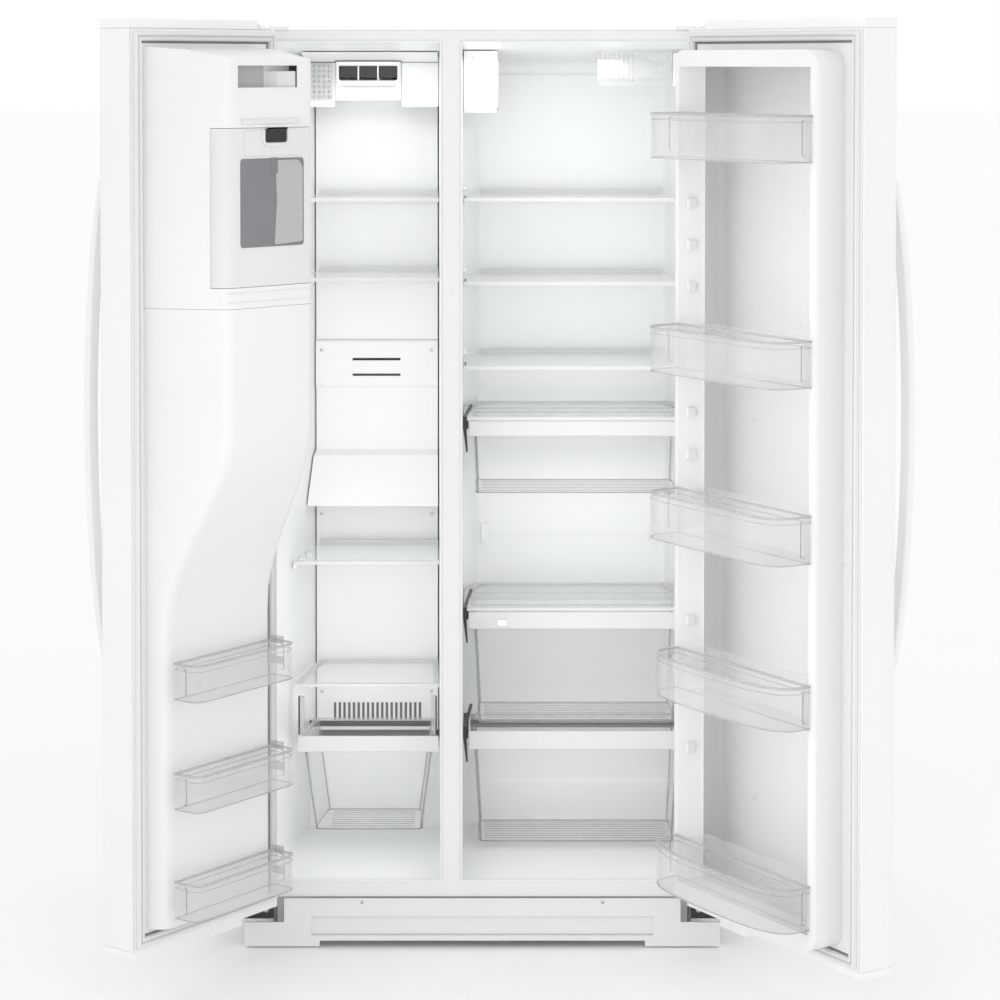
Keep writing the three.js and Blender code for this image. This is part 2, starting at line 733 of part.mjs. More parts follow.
/** Steel skin of a door: outer face, both edges and a return flange behind. */
function doorShell(edge) {
  const returnWidth = 14;
  const x0 = Math.min(edge.hinge, edge.free) + returnWidth;
  const x1 = Math.max(edge.hinge, edge.free) - returnWidth;
  const flange = doorInner - SHEET;
  const skin = raised(doorOutline(edge), panelBottom, panelTop);
  const hollow = raised(doorOutline(edge, SHEET), panelBottom - 1, panelTop + 1);
  const flanges = block([-cabinet.half, flange, 0], [cabinet.half, doorInner + 1, doors.top]);
  const mouth = block([x0, flange - 1, panelBottom - 1], [x1, doorInner + 1, panelTop + 1]);
  return cut(skin, cut(hollow, flanges), mouth);
}

/** Moulded top end cap, low at the hinge corner where the hinge plate lies over it. */
function topCap(edge) {
  const side = Math.sign(edge.hinge);
  const low = cabinet.top + 1.2;
  const recess = 50;
  const x = edge.hinge - side * recess;
  const body = raised(doorOutline(edge), panelTop + GAP, doors.top);
  const step = block([Math.min(x, edge.hinge + side), -200, low], [Math.max(x, edge.hinge + side), 0, 2000]);
  const hole = rod("z", [hingeX(side), -pivot.forward, panelTop - 5], pivot.pinRadius + 0.5, 30);
  return cut(body, step, hole);
}

/** Moulded bottom end cap with the door stop that hangs from it. */
function bottomCap(edge) {
  const side = Math.sign(edge.hinge);
  const stop = { near: 95, far: 175, drop: 15 };
  const a = edge.hinge - side * stop.near;
  const b = edge.hinge - side * stop.far;
  const body = raised(doorOutline(edge), doors.bottom, panelBottom - GAP);
  const ear = block(
    [Math.min(a, b), -58, doors.bottom - stop.drop],
    [Math.max(a, b), -20, doors.bottom + 1],
  );
  const hole = rod("z", [hingeX(side), -pivot.forward, doors.bottom - 5], pivot.pinRadius + 0.5, 30);
  return cut(join(body, ear), hole);
}

/** Bowed bar handle on the door's outer face, near its free edge. */
function handle(edge) {
  const side = Math.sign(edge.hinge);
  const bar = { bottom: 625, top: 1480, proud: 54, thick: 15, width: 26, inset: 18, swell: 215 };
  const face = doorOuter - GAP - bar.thick / 2;
  const bow = (bar.proud - bar.thick) * (4 / 3);
  const curve = new THREE.CubicBezierCurve(
    new THREE.Vector2(face, bar.bottom),
    new THREE.Vector2(face - bow, bar.bottom + bar.swell),
    new THREE.Vector2(face - bow, bar.top - bar.swell),
    new THREE.Vector2(face, bar.top),
  );
  const middle = edge.free + side * (bar.inset + bar.width / 2);
  const stations = 20;
  const half = { x: bar.width / 2, y: bar.thick / 2 };
  const corners = [[-half.x, -half.y], [half.x, -half.y], [half.x, half.y], [-half.x, half.y]];
  const rings = Array.from({ length: stations + 1 }, (_, i) => {
    const t = i / stations;
    const { x: y, y: z } = curve.getPoint(t);
    const slope = curve.getTangent(t);
    const ends = i === 0 || i === stations;
    const lean = ends ? { x: 0, y: 1 } : slope;
    return eased(corners, 6, 2).map(([across, out]) => [middle + across, y + out * lean.y, z - out * lean.x]);
  });
  return loft(rings);
}

/** Flexible seal round the door's inner face. */
function gasket(edge) {
  const inset = 8;
  const width = 16;
  const x0 = Math.min(edge.hinge, edge.free) + inset;
  const x1 = Math.max(edge.hinge, edge.free) - inset;
  const z0 = panelBottom + 6;
  const z1 = panelTop - 6;
  const y0 = doorInner + 2 + 2 * GAP;
  const y1 = -2.6;
  return cut(
    block([x0, y0, z0], [x1, y1, z1]),
    block([x0 + width, y0 - 1, z0 + width], [x1 - width, y1 + 1, z1 - width]),
  );
}

/** Flat land of a door liner, clamped over the shell's return flange. */
function linerLand(edge) {
  const x0 = Math.min(edge.hinge, edge.free) + 4;
  const x1 = Math.max(edge.hinge, edge.free) - 4;
  return block([x0, doorInner + GAP, panelBottom], [x1, doorInner + GAP + 2, panelTop]);
}

// ---------------------------------------------------------------- freezer door

const smooth = (t) => {
  const u = Math.min(1, Math.max(0, t));
  return u * u * (3 - 2 * u);
};

// The liner bulges into the freezer behind the dispenser: flat below, deep above, with an S between.
const bulge = { top: 1251, bottom: 140, start: 690, end: 1040 };
const bulgeFree = (z) => 22 + 106 * smooth((z - bulge.start) / (bulge.end - bulge.start));
const bulgeHinge = (z) => 36 + 123 * smooth((z - bulge.start) / (bulge.end - bulge.start));
const freeSideX = (y) => -100 - 0.49 * y;
const hingeSideX = (y) => -385 + 0.15 * y;

/** Plan section of the bulge at height z, from depth y0, shrunk by `inset`. */
function bulgeSection(z, y0, inset, drop = 0) {
  const free = bulgeFree(z) - inset;
  const far = bulgeHinge(z) - inset;
  const plan = [
    [freeSideX(y0) - inset, y0],
    [hingeSideX(y0) + inset, y0],
    [hingeSideX(far) + inset, far],
    [freeSideX(free) - inset, free],
  ];
  return eased(plan, [0, 0, 18 - inset, 18 - inset]).map(([x, y]) => [x, y, z + drop]);
}

function bulgeBody(y0, inset) {
  const levels = [bulge.bottom, 400, 680];
  for (let z = 720; z <= 1040; z += 40) levels.push(z);
  levels.push(bulge.top);
  const rings = levels.map((z, i) => {
    const ends = i === 0 ? inset : i === levels.length - 1 ? -inset : 0;
    return bulgeSection(z, y0, inset, ends).reverse();
  });
  return loft(rings);
}

/** Freezer door liner: land and hollow bulge. */
function freezerDoorLiner() {
  const land = linerLand(freezerEdge);
  return cut(join(land, bulgeBody(doorInner + GAP, 0)), bulgeBody(doorInner - 2, PLASTIC));
}

const iceModule = {
  bottom: bulge.top + GAP,
  topAtDoor: 1716,
  topAtFront: 1692,
  back: doorInner + 2 + 2 * GAP,
};
const iceBinBox = { x0: -357, x1: -149, y0: 6, z0: 1289, z1: 1571 };

/** Solid of the ice module, shrunk by `inset`, from depth y0. */
function iceModuleSolid(y0, inset) {
  const z = bulge.top;
  const low = iceModule.bottom + inset;
  const section = bulgeSection(z, y0, inset).map(([x, y]) => [x, y]);
  const side = [
    [y0, low],
    [180, low],
    [180, iceModule.topAtFront - 4 - inset],
    [60, iceModule.topAtDoor - 6 - inset],
    [y0, iceModule.topAtDoor - inset],
  ];
  return raised(section, low, 1750).intersect(across(side, -cabinet.half, 0));
}

/** Space that the ice bin takes out of the module, grown by `grow`. */
function iceBinSpace(grow) {
  const { x0, x1, y0, z0, z1 } = iceBinBox;
  return block([x0 - grow - 30, y0 - grow, z0 - grow], [x1 + grow, 200, z1 + grow]);
}

/** Ice maker housing, open where the bin goes in, with an air window above. */
function iceHousing() {
  const shell = cut(iceModuleSolid(iceModule.back, 0), iceModuleSolid(iceModule.back - 5, PLASTIC));
  const window = block([-322, 60, 1643], [-186, 200, 1682]);
  return cut(shell, iceBinSpace(0.6), window);
}

/** Removable ice bin: it carries the module's front face, and is open at the top. */
function iceBin() {
  const outer = iceModuleSolid(iceModule.back, 0).intersect(iceBinSpace(0));
  const { x0, x1, y0, z0 } = iceBinBox;
  const pocket = block([x0 - 40, y0 + PLASTIC, z0 + PLASTIC], [x1 - PLASTIC, 200, 1600]);
  const inner = iceModuleSolid(iceModule.back, PLASTIC).intersect(pocket);
  const notch = block([-300, 120, 1545], [-252, 200, 1580]);
  return cut(outer, inner, notch);
}

const well = { x0: -330, x1: -170, z0: 960, z1: 1240, back: 16, wall: 2.5, panelTop: 1310 };

/** Dispenser well let into the door's outer face, with its control panel above. */
function dispenserWell() {
  const { x0, x1, z0, z1, back, wall } = well;
  const face = doorOuter - GAP - 2;
  const box = cut(
    block([x0, doorOuter - 1, z0], [x1, back, z1]),
    block([x0 + wall, doorOuter - 20, z0 + wall], [x1 - wall, back - wall, z1 - wall]),
  );
  const rim = cut(
    pushed(rounded(x0 - 8, z0 - 8, x1 + 8, well.panelTop, 10), face, doorOuter - GAP),
    block([x0 + wall, doorOuter - 20, z0 + wall], [x1 - wall, doorOuter + 20, z1 - wall]),
  );
  const tray = block([x0 + wall - 1, doorOuter + 2, z0 + wall - 1], [x1 - wall + 1, back - 30, z0 + 8]);
  return join(box, rim, tray);
}

const paddle = { x0: -278, x1: -222, y: -10, top: 1200, bottom: 1085 };

/** Lever in the well that a glass pushes back. */
function dispenserPaddle() {
  const { x0, x1, y, top, bottom } = paddle;
  const blade = across([[y, bottom], [y + 4, bottom], [y + 4, top], [y, top]], x0, x1);
  return join(blade, rod("x", [x0, y + 2, top], 4, x1 - x0, 12));
}

/** Freezer door shell with the dispenser's cut-out. */
function freezerDoorShell() {
  const { x0, x1, z0, z1 } = well;
  const hole = block([x0 - GAP, doorOuter - 5, z0 - GAP], [x1 + GAP, doorOuter + 5, z1 + GAP]);
  return cut(doorShell(freezerEdge), hole);
}

// ---------------------------------------------------------------- door bins

/** Plan outline of a bin: straight sides, bowed front. */
function binOutline({ x0, x1, back, end, front, run }, inset = 0) {
  const shape = new THREE.Shape();
  const left = x0 + inset;
  const right = x1 - inset;
  const face = front - inset;
  shape.moveTo(left, back + inset);
  shape.lineTo(right, back + inset);
  shape.lineTo(right, end - inset);
  shape.bezierCurveTo(right, face - 5, right - run * 0.4, face, right - run, face);
  if (left + run < right - run) shape.lineTo(left + run, face);
  shape.bezierCurveTo(left + run * 0.4, face, left, face - 5, left, end - inset);
  return shape;
}

function doorBin(plan, top, height) {
  return cut(
    raised(binOutline(plan), top - height, top),
    raised(binOutline(plan, CLEAR_WALL), top - height + CLEAR_WALL, top + 1),
  );
}

const freezerBins = [622, 425, 230];
const freezerBinPlan = { x0: -379, x1: -114, back: 40, end: 78, front: 97, run: 26 };
const freezerBinHeight = 66;

const dyke = { x0: -8, x1: 412, z0: 136, z1: 1710, crest: 52, floorLeft: 20, floorRight: 374, lip: 30 };

/** Fresh food door liner: a hollow dyke round a flat middle. */
function freshDoorLiner() {
  const back = doorInner + GAP;
  const recess = (grow) => {
    const plan = [
      [dyke.floorLeft + grow - 12, dyke.crest + 1],
      [dyke.floorLeft + grow, -grow],
      [dyke.floorRight - grow, -grow],
      [dyke.x1 - 18 - grow, dyke.crest + 1],
    ];
    const low = dyke.z0 + dyke.lip + grow;
    const high = dyke.z1 - dyke.lip - grow;
    return raised(eased(plan, [0, 10, 14, 0]), low, high);
  };
  const hump = (inset, y0) => {
    const x0 = dyke.x0 + inset;
    const x1 = dyke.x1 - inset;
    const crest = dyke.crest - inset;
    const plan = eased([[x0, y0], [x1, y0], [x1, crest], [x0, crest]], [0, 0, 12 - inset, 12 - inset]);
    const front = rounded(x0, dyke.z0 + inset, x1, dyke.z1 - inset, 30 - inset);
    return raised(plan, dyke.z0, dyke.z1).intersect(pushed(front, y0 - 1, crest + 1));
  };
  return cut(
    join(linerLand(freshEdge), hump(0, back)),
    recess(0),
    cut(hump(PLASTIC, back - 2), recess(-PLASTIC)),
  );
}

const freshBinPlans = {
  straight: { x0: 2, x1: 394, back: 3, end: 84, front: 137, run: 70 },
  bowed: { x0: 2, x1: 394, back: 3, end: 78, front: 134, run: 195 },
};
const freshBins = [
  { top: 1596, height: 82, plan: freshBinPlans.straight },
  { top: 1206, height: 82, plan: freshBinPlans.straight },
  { top: 902, height: 84, plan: freshBinPlans.straight },
  { top: 605, height: 76, plan: freshBinPlans.bowed },
  { top: 254, height: 78, plan: freshBinPlans.bowed },
];

/** Bin as it sits on the dyke: its back part is narrowed to drop between the dyke's walls. */
function freshBin({ top, height, plan }) {
  const left = dyke.floorLeft;
  const right = dyke.floorRight;
  const body = doorBin(plan, top, height);
  const ledge = dyke.crest + GAP;
  const clear = [
    block([-50, -10, 0], [left + 1, ledge, 2000]),
    block([right - 6, -10, 0], [500, ledge, 2000]),
  ];
  const seats = [
    block([left + 1, plan.back, top - height], [left + 1 + CLEAR_WALL, ledge + CLEAR_WALL, top]),
    block([right - 6 - CLEAR_WALL, plan.back, top - height], [right - 6, ledge + CLEAR_WALL, top]),
    block([plan.x0, ledge, top - height], [left + 2, ledge + CLEAR_WALL, top]),
    block([right - 7, ledge, top - height], [plan.x1, ledge + CLEAR_WALL, top]),
  ];
  return join(cut(body, ...clear), ...seats);
}

// ---------------------------------------------------------------- assembly

/** Group of a door's pieces, turned open about its hinge pin. */
function doorGroup(side, degrees, pieces) {
  const drawn = new THREE.Group();
  drawn.position.set(-hingeX(side), pivot.forward, 0);
  drawn.add(...pieces);
  const turned = new THREE.Group();
  turned.position.set(hingeX(side), -pivot.forward, 0);
  turned.rotation.z = side * THREE.MathUtils.degToRad(degrees);
  turned.add(drawn);
  return turned;
}

const f = finishes;

const liner = freshLiner();
const cabinetPieces = [
  piece("outer_case", outerCase(), f.whitePaint),
  piece("back_panel", backPanel(), f.zinc),
  piece("freezer_liner", freezerLiner(), f.whiteGloss),
  piece("fresh_food_liner", liner.rear, f.whiteGloss),
  piece("fresh_food_liner_top", liner.roof, f.whiteGloss),
  piece("fresh_food_liner_left", liner.left, f.whiteGloss),
  piece("fresh_food_liner_right", liner.right, f.whiteGloss),
  piece("base_pan", basePan(), f.zinc),
  piece("base_grille", baseGrille(), f.whitePlastic),
  piece("roller_axle", rollerAxle(), f.black),
  piece("top_hinge_left", topHinge(-1), f.whitePaint),
  piece("top_hinge_right", topHinge(1), f.whitePaint),
  piece("bottom_hinge_left", bottomHinge(-1), f.black),
  piece("bottom_hinge_right", bottomHinge(1), f.black),
  piece("compressor", compressor(), f.black),
  piece("condenser", finnedCoil([-290, 440, 112], [-30, 555, 270], 14), f.aluminium),
  piece("condenser_fan", fan("x", fanAt.condenser, 70), f.black),
  piece("evaporator", finnedCoil([-315, 449, 620], [-115, 500, 1000], 12), f.aluminium),
  piece("evaporator_fan", fan("y", fanAt.evaporator, 52), f.greyPlastic),
  piece("freezer_back_panel", freezerBackPanel(), f.whitePlastic),
  piece("freezer_shelf_top", freezerShelf(1421), f.glass),
  piece("freezer_shelf_middle", freezerShelf(1264), f.glass),
  piece("freezer_shelf_lower", freezerShelf(704), f.glass),
  piece("freezer_basket_cover", freezerBasketCover(), f.glass),
  piece("freezer_basket", drawer(basket), f.clear),
  piece("control_box", controlBox(), f.whitePlastic),
  piece("light_cover", lightCover(), f.clear),
  piece("fresh_food_shelf_top", freshShelf(1421), f.glass),
  piece("fresh_food_shelf_middle", freshShelf(1256), f.glass),
  piece("fresh_food_shelf_lower", freshShelf(1090), f.glass),
  piece("deli_drawer_cover", freshCover(982), f.glass),
  piece("deli_drawer", freshDrawer(deli), f.clear),
  piece("crisper_cover", freshCover(604.5), f.glass),
  piece("upper_crisper", freshDrawer(upperCrisper), f.clear),
  piece("humidity_slider", humiditySlider(), f.whitePlastic),
  piece("lower_crisper", freshDrawer(lowerCrisper), f.clear),
];

const freezerDoorPieces = [
  piece("freezer_door_shell", freezerDoorShell(), f.whitePaint),
  piece("freezer_door_liner", freezerDoorLiner(), f.whiteGloss),
  piece("freezer_door_gasket", gasket(freezerEdge), f.gasket),
  piece("freezer_door_handle", handle(freezerEdge), f.whiteGloss),
  piece("freezer_door_top_cap", topCap(freezerEdge), f.whitePlastic),
  piece("freezer_door_bottom_cap", bottomCap(freezerEdge), f.whitePlastic),
  piece("ice_housing", iceHousing(), f.whiteGloss),
  piece("ice_bin", iceBin(), f.whiteGloss),
  piece("dispenser_well", dispenserWell(), f.greyPlastic),
  piece("dispenser_paddle", dispenserPaddle(), f.black),
  ...freezerBins.map((top, i) =>
    piece(`freezer_door_bin_${i + 1}`, doorBin(freezerBinPlan, top, freezerBinHeight), f.clear),
  ),
];

const freshDoorPieces = [
  piece("fresh_food_door_shell", doorShell(freshEdge), f.whitePaint),
  piece("fresh_food_door_liner", freshDoorLiner(), f.whiteGloss),
  piece("fresh_food_door_gasket", gasket(freshEdge), f.gasket),
  piece("fresh_food_door_handle", handle(freshEdge), f.whiteGloss),
  piece("fresh_food_door_top_cap", topCap(freshEdge), f.whitePlastic),
  piece("fresh_food_door_bottom_cap", bottomCap(freshEdge), f.whitePlastic),
  ...freshBins.map((bin, i) => piece(`fresh_food_door_bin_${i + 1}`, freshBin(bin), f.clear)),
];

const refrigerator = new THREE.Group();
refrigerator.position.set(-ORIGIN.x, -ORIGIN.y, 0);
refrigerator.add(...cabinetPieces);
refrigerator.add(doorGroup(-1, OPEN_FREEZER, freezerDoorPieces));
refrigerator.add(doorGroup(1, OPEN_FRESH, freshDoorPieces));

export default refrigerator;
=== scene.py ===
"""The looks of a side by side refrigerator with its doors open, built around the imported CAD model.

Pieces are drawn in millimetres in the cabinet's own frame: X from its middle, Y back from its front face,
Z up from the floor. A door's pieces are drawn with the door shut, and a door's matrix then opens them.
"""

import json
import math

import bmesh
import bpy
from mathutils import Matrix, Vector


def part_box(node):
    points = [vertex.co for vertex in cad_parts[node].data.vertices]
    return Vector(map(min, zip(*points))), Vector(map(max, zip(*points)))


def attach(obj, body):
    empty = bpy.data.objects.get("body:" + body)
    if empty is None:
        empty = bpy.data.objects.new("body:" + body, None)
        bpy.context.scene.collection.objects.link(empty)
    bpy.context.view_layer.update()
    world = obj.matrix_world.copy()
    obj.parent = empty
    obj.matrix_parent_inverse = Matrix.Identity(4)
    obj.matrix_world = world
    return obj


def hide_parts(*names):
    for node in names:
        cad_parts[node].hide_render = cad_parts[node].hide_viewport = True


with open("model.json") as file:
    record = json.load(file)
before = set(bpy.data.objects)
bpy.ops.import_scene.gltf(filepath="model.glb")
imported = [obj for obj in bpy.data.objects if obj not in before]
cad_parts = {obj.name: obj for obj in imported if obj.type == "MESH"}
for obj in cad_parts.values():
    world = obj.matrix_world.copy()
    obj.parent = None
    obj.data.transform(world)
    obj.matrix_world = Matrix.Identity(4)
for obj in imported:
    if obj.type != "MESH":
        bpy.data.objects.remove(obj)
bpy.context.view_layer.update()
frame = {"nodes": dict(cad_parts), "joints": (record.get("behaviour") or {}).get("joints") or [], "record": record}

# ---------------------------------------------------------------- the cabinet's frame and the doors' frames

MM = 0.001
case_low, case_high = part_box("outer_case")
CABINET = Matrix.Translation(((case_low.x + case_high.x) / 2, case_low.y, 0)) @ Matrix.Scale(MM, 4)


def door_frame(joint_name):
    """Matrix from a shut door's millimetres to its open place, about its hinge."""
    joint = next(j for j in frame["joints"] if j["name"] == joint_name)
    turn = Matrix.Rotation(math.radians(-joint["range_deg"][0]), 4, Vector(joint["axis"]))
    pivot = Matrix.Translation(joint["pos_m"])
    return pivot @ turn @ pivot.inverted() @ CABINET


FREEZER_DOOR = door_frame("freezer_door_hinge")
FRESH_DOOR = door_frame("fresh_food_door_hinge")


def cabinet_box(node):
    """Lowest and highest corner of a CAD node that doesn't turn, in cabinet millimetres."""
    low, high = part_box(node)
    back = CABINET.inverted()
    return back @ low, back @ high


# ---------------------------------------------------------------- materials


def new_material(name):
    material = bpy.data.materials.new(name)
    material.use_nodes = True
    nodes = material.node_tree.nodes
    return material, nodes, material.node_tree.links, nodes["Principled BSDF"]


def add_noise(nodes, links, scale, detail=3.0):
    """Noise in the piece's own coordinates."""
    coordinates = nodes.new("ShaderNodeTexCoord")
    noise = nodes.new("ShaderNodeTexNoise")
    noise.inputs["Scale"].default_value = scale
    noise.inputs["Detail"].default_value = detail
    links.new(coordinates.outputs["Object"], noise.inputs["Vector"])
    return noise.outputs["Fac"]


def map_range(nodes, links, value, low, high):
    """A value between 0 and 1 mapped to low..high."""
    mapped = nodes.new("ShaderNodeMapRange")
    mapped.inputs["To Min"].default_value = low
    mapped.inputs["To Max"].default_value = high
    links.new(value, mapped.inputs["Value"])
    return mapped.outputs["Result"]


def add_bump(nodes, links, shader, height, distance, strength=0.3):
    bump = nodes.new("ShaderNodeBump")
    bump.inputs["Strength"].default_value = strength
    bump.inputs["Distance"].default_value = distance
    links.new(height, bump.inputs["Height"])
    links.new(bump.outputs["Normal"], shader.inputs["Normal"])


def tinted(nodes, links, shader, value, color, spread):
    """Base colour that drifts by `spread` around `color` with the value."""
    ramp = nodes.new("ShaderNodeValToRGB")
    ramp.color_ramp.elements[0].position = 0.3
    ramp.color_ramp.elements[1].position = 0.7
    ramp.color_ramp.elements[0].color = [max(0.0, c * (1 - spread)) for c in color] + [1]
    ramp.color_ramp.elements[1].color = [min(1.0, c * (1 + spread)) for c in color] + [1]
    links.new(value, ramp.inputs["Fac"])
    links.new(ramp.outputs["Color"], shader.inputs["Base Color"])


def solid_material(name, color, roughness, metallic=0.0, grain=900.0, bump=0.0001, coat=0.0, spread=0.012):
    """Opaque finish: a faint drift in tone, a varied gloss and a fine surface grain."""
    material, nodes, links, shader = new_material(name)
    shader.inputs["Metallic"].default_value = metallic
    shader.inputs["Coat Weight"].default_value = coat
    shader.inputs["Coat Roughness"].default_value = 0.12
    tinted(nodes, links, shader, add_noise(nodes, links, 3.0), color, spread)
    gloss = map_range(nodes, links, add_noise(nodes, links, 18.0), roughness * 0.8, roughness * 1.2)
    links.new(gloss, shader.inputs["Roughness"])
    add_bump(nodes, links, shader, add_noise(nodes, links, grain, 2.0), bump)
    return material


def clear_material(name, color, face_on, edge_on, roughness=0.08):
    """Clear plastic or glass: nearly invisible face on, and denser where the eye skims it."""
    material, nodes, links, shader = new_material(name)
    shader.inputs["IOR"].default_value = 1.49
    tinted(nodes, links, shader, add_noise(nodes, links, 6.0), color, 0.03)
    gloss = map_range(nodes, links, add_noise(nodes, links, 40.0), roughness * 0.6, roughness * 1.5)
    links.new(gloss, shader.inputs["Roughness"])
    skim = nodes.new("ShaderNodeLayerWeight")
    skim.inputs["Blend"].default_value = 0.35
    cover = map_range(nodes, links, skim.outputs["Facing"], face_on, edge_on)
    links.new(cover, shader.inputs["Alpha"])
    return material


def brushed_material(name, color, roughness, direction):
    """Metal with streaks along one axis."""
    material, nodes, links, shader = new_material(name)
    shader.inputs["Metallic"].default_value = 1.0
    coordinates = nodes.new("ShaderNodeTexCoord")
    stretch = nodes.new("ShaderNodeMapping")
    stretch.inputs["Scale"].default_value = direction
    noise = nodes.new("ShaderNodeTexNoise")
    noise.inputs["Scale"].default_value = 60.0
    links.new(coordinates.outputs["Object"], stretch.inputs["Vector"])
    links.new(stretch.outputs["Vector"], noise.inputs["Vector"])
    tinted(nodes, links, shader, noise.outputs["Fac"], color, 0.08)
    gloss = map_range(nodes, links, noise.outputs["Fac"], roughness * 0.7, roughness * 1.4)
    links.new(gloss, shader.inputs["Roughness"])
    add_bump(nodes, links, shader, noise.outputs["Fac"], 0.0001)
    return material


# The case's white paint, darker than the doors' paint: painted shade for the mullion, which lies in shade between
# the open doors.
SHADED_CASE_PAINT = solid_material("case_white_paint_shaded", (0.82, 0.825, 0.82), 0.3, grain=700.0, bump=0.00025, coat=0.4)
PAINT = solid_material("white_paint", (0.88, 0.885, 0.88), 0.3, grain=700.0, bump=0.00025, coat=0.4)
LINER = solid_material("liner_white", (0.88, 0.89, 0.89), 0.32, grain=300.0, coat=0.15)
DOOR_LINER = solid_material("door_liner_white", (0.84, 0.845, 0.85), 0.3, grain=300.0, coat=0.2)
WHITE_PLASTIC = solid_material("white_plastic", (0.90, 0.905, 0.905), 0.4, grain=1500.0)
RAIL_PLASTIC = solid_material("rail_white_plastic", (0.66, 0.665, 0.67), 0.4, grain=1500.0)
GRILLE_PLASTIC = solid_material("grille_white_plastic", (0.80, 0.805, 0.805), 0.45, grain=1500.0)
ICE_PLASTIC = solid_material("ice_maker_white_plastic", (0.76, 0.765, 0.77), 0.35, grain=1500.0)
SHADE_PLASTIC = solid_material("shaded_white_plastic", (0.72, 0.73, 0.735), 0.5, grain=1500.0)
GREY_PLASTIC = solid_material("grey_plastic", (0.47, 0.48, 0.49), 0.45, grain=1500.0)
SEAL = solid_material("seal", (0.78, 0.785, 0.785), 0.7, grain=1200.0, bump=0.0003)
# Dark grey for seams and the ice window's slot, and for painted shadow: the band inside each seal, the gap between
# the crispers and the space behind the freezer's vent slots.
SEAM_AND_SHADOW_GREY = solid_material("seam_and_painted_shadow_grey", (0.22, 0.225, 0.225), 0.8, grain=1200.0)
# Black plastic, also laid as painted shadow behind the freezer vent's top rows, in the outlet and in the ice bin's
# notch.
BLACK_PLASTIC = solid_material("black_plastic", (0.02, 0.02, 0.022), 0.4, grain=1500.0, bump=0.0003)
BLACK_STEEL = solid_material("black_steel", (0.018, 0.018, 0.02), 0.35, grain=500.0, bump=0.0004)
ZINC = brushed_material("zinc_steel", (0.56, 0.57, 0.58), 0.35, (1, 12, 1))
ALUMINIUM = brushed_material("aluminium", (0.74, 0.75, 0.76), 0.3, (12, 1, 1))
COPPER = brushed_material("copper", (0.72, 0.38, 0.25), 0.3, (1, 1, 8))
GLASS = clear_material("shelf_glass", (0.84, 0.87, 0.86), 0.10, 0.5, 0.05)
CLEAR = clear_material("clear_plastic", (0.72, 0.73, 0.735), 0.05, 0.5)
CLEAR_EDGE = clear_material("clear_plastic_edge", (0.50, 0.515, 0.52), 0.3, 0.8)
TUB = clear_material("clear_drawer", (0.76, 0.77, 0.775), 0.05, 0.32)
TUB_EDGE = clear_material("clear_drawer_edge", (0.30, 0.31, 0.315), 0.45, 0.85)
# Lighter grey laid over the smoked window: painted highlight where light falls on the pane.
SMOKED_HIGHLIGHT = solid_material("smoked_window_painted_highlight", (0.46, 0.47, 0.475), 0.25, coat=0.3)
SMOKED = clear_material("smoked_window", (0.24, 0.25, 0.26), 0.74, 0.95, 0.15)
LENS = clear_material("lamp_lens", (0.88, 0.89, 0.89), 0.35, 0.8, 0.2)
LAMP_COVER = clear_material("lamp_cover", (0.86, 0.87, 0.87), 0.16, 0.6, 0.12)

# ---------------------------------------------------------------- meshes


def eased(points, radii, steps=4):
    """Outline with eased corners: one radius for all, or one for each point, where 0 keeps it sharp."""
    result = []
    for i, corner in enumerate(points):
        radius = radii[i] if isinstance(radii, (list, tuple)) else radii
        if not radius:
            result.append(tuple(corner))
            continue
        middle = Vector(corner)
        ends = []
        for other in (points[i - 1], points[(i + 1) % len(points)]):
            side = Vector(other) - middle
            ends.append(middle + side * min(0.49, radius / side.length))
        for step in range(steps + 1):
            t = step / steps
            point = ends[0] * (1 - t) ** 2 + middle * 2 * t * (1 - t) + ends[1] * t * t
            result.append(tuple(point))
    return result


def rectangle(x0, y0, x1, y1):
    return [(x0, y0), (x1, y0), (x1, y1), (x0, y1)]


def add_loft(bm, rings, cyclic=False):
    """Skin over rings of equally many points, capped at both ends unless it closes on itself."""
    loops = [[bm.verts.new(p) for p in ring] for ring in rings]
    pairs = list(zip(loops, loops[1:]))
    if cyclic:
        pairs.append((loops[-1], loops[0]))
    count = len(loops[0])
    for lower, upper in pairs:
        for i in range(count):
            j = (i + 1) % count
            bm.faces.new((lower[i], lower[j], upper[j], upper[i]))
    if not cyclic:
        bm.faces.new(list(reversed(loops[0])))
        bm.faces.new(loops[-1])


PLANES = {
    "XY": lambda u, v, w: (u, v, w),
    "YZ": lambda u, v, w: (w, u, v),
    "XZ": lambda u, v, w: (u, w, v),
}


def add_prism(bm, outline, start, end, plane="XY"):
    """Outline in a plane, extended from start to end along the plane's normal axis."""
    place = PLANES[plane]
    add_loft(bm, [[place(u, v, w) for u, v in outline] for w in (start, end)])


def add_box(bm, low, high):
    add_prism(bm, rectangle(low[0], low[1], high[0], high[1]), low[2], high[2])


def add_band(bm, outer, inner, start, end, plane="XY"):
    """Frame between two outlines of equally many points."""
    place = PLANES[plane]
    rings = [
        [place(u, v, w) for u, v in outline]
        for outline, w in ((outer, start), (outer, end), (inner, end), (inner, start))
    ]
    add_loft(bm, rings, cyclic=True)


def circle(radius, sides):
    turn = 2 * math.pi / sides
    return [(radius * math.cos(i * turn), radius * math.sin(i * turn)) for i in range(sides)]


def add_lathe(bm, profile, point, axis, sides=20):
    """Profile of (radius, height) turned about an axis from a point; its two ends are capped."""
    turn = Vector((0, 0, 1)).rotation_difference(Vector(axis)).to_matrix()
    origin = Vector(point)
    rings = []
    for radius, height in profile:
        rings.append([origin + turn @ Vector((x, y, height)) for x, y in circle(radius, sides)])
    add_loft(bm, rings)


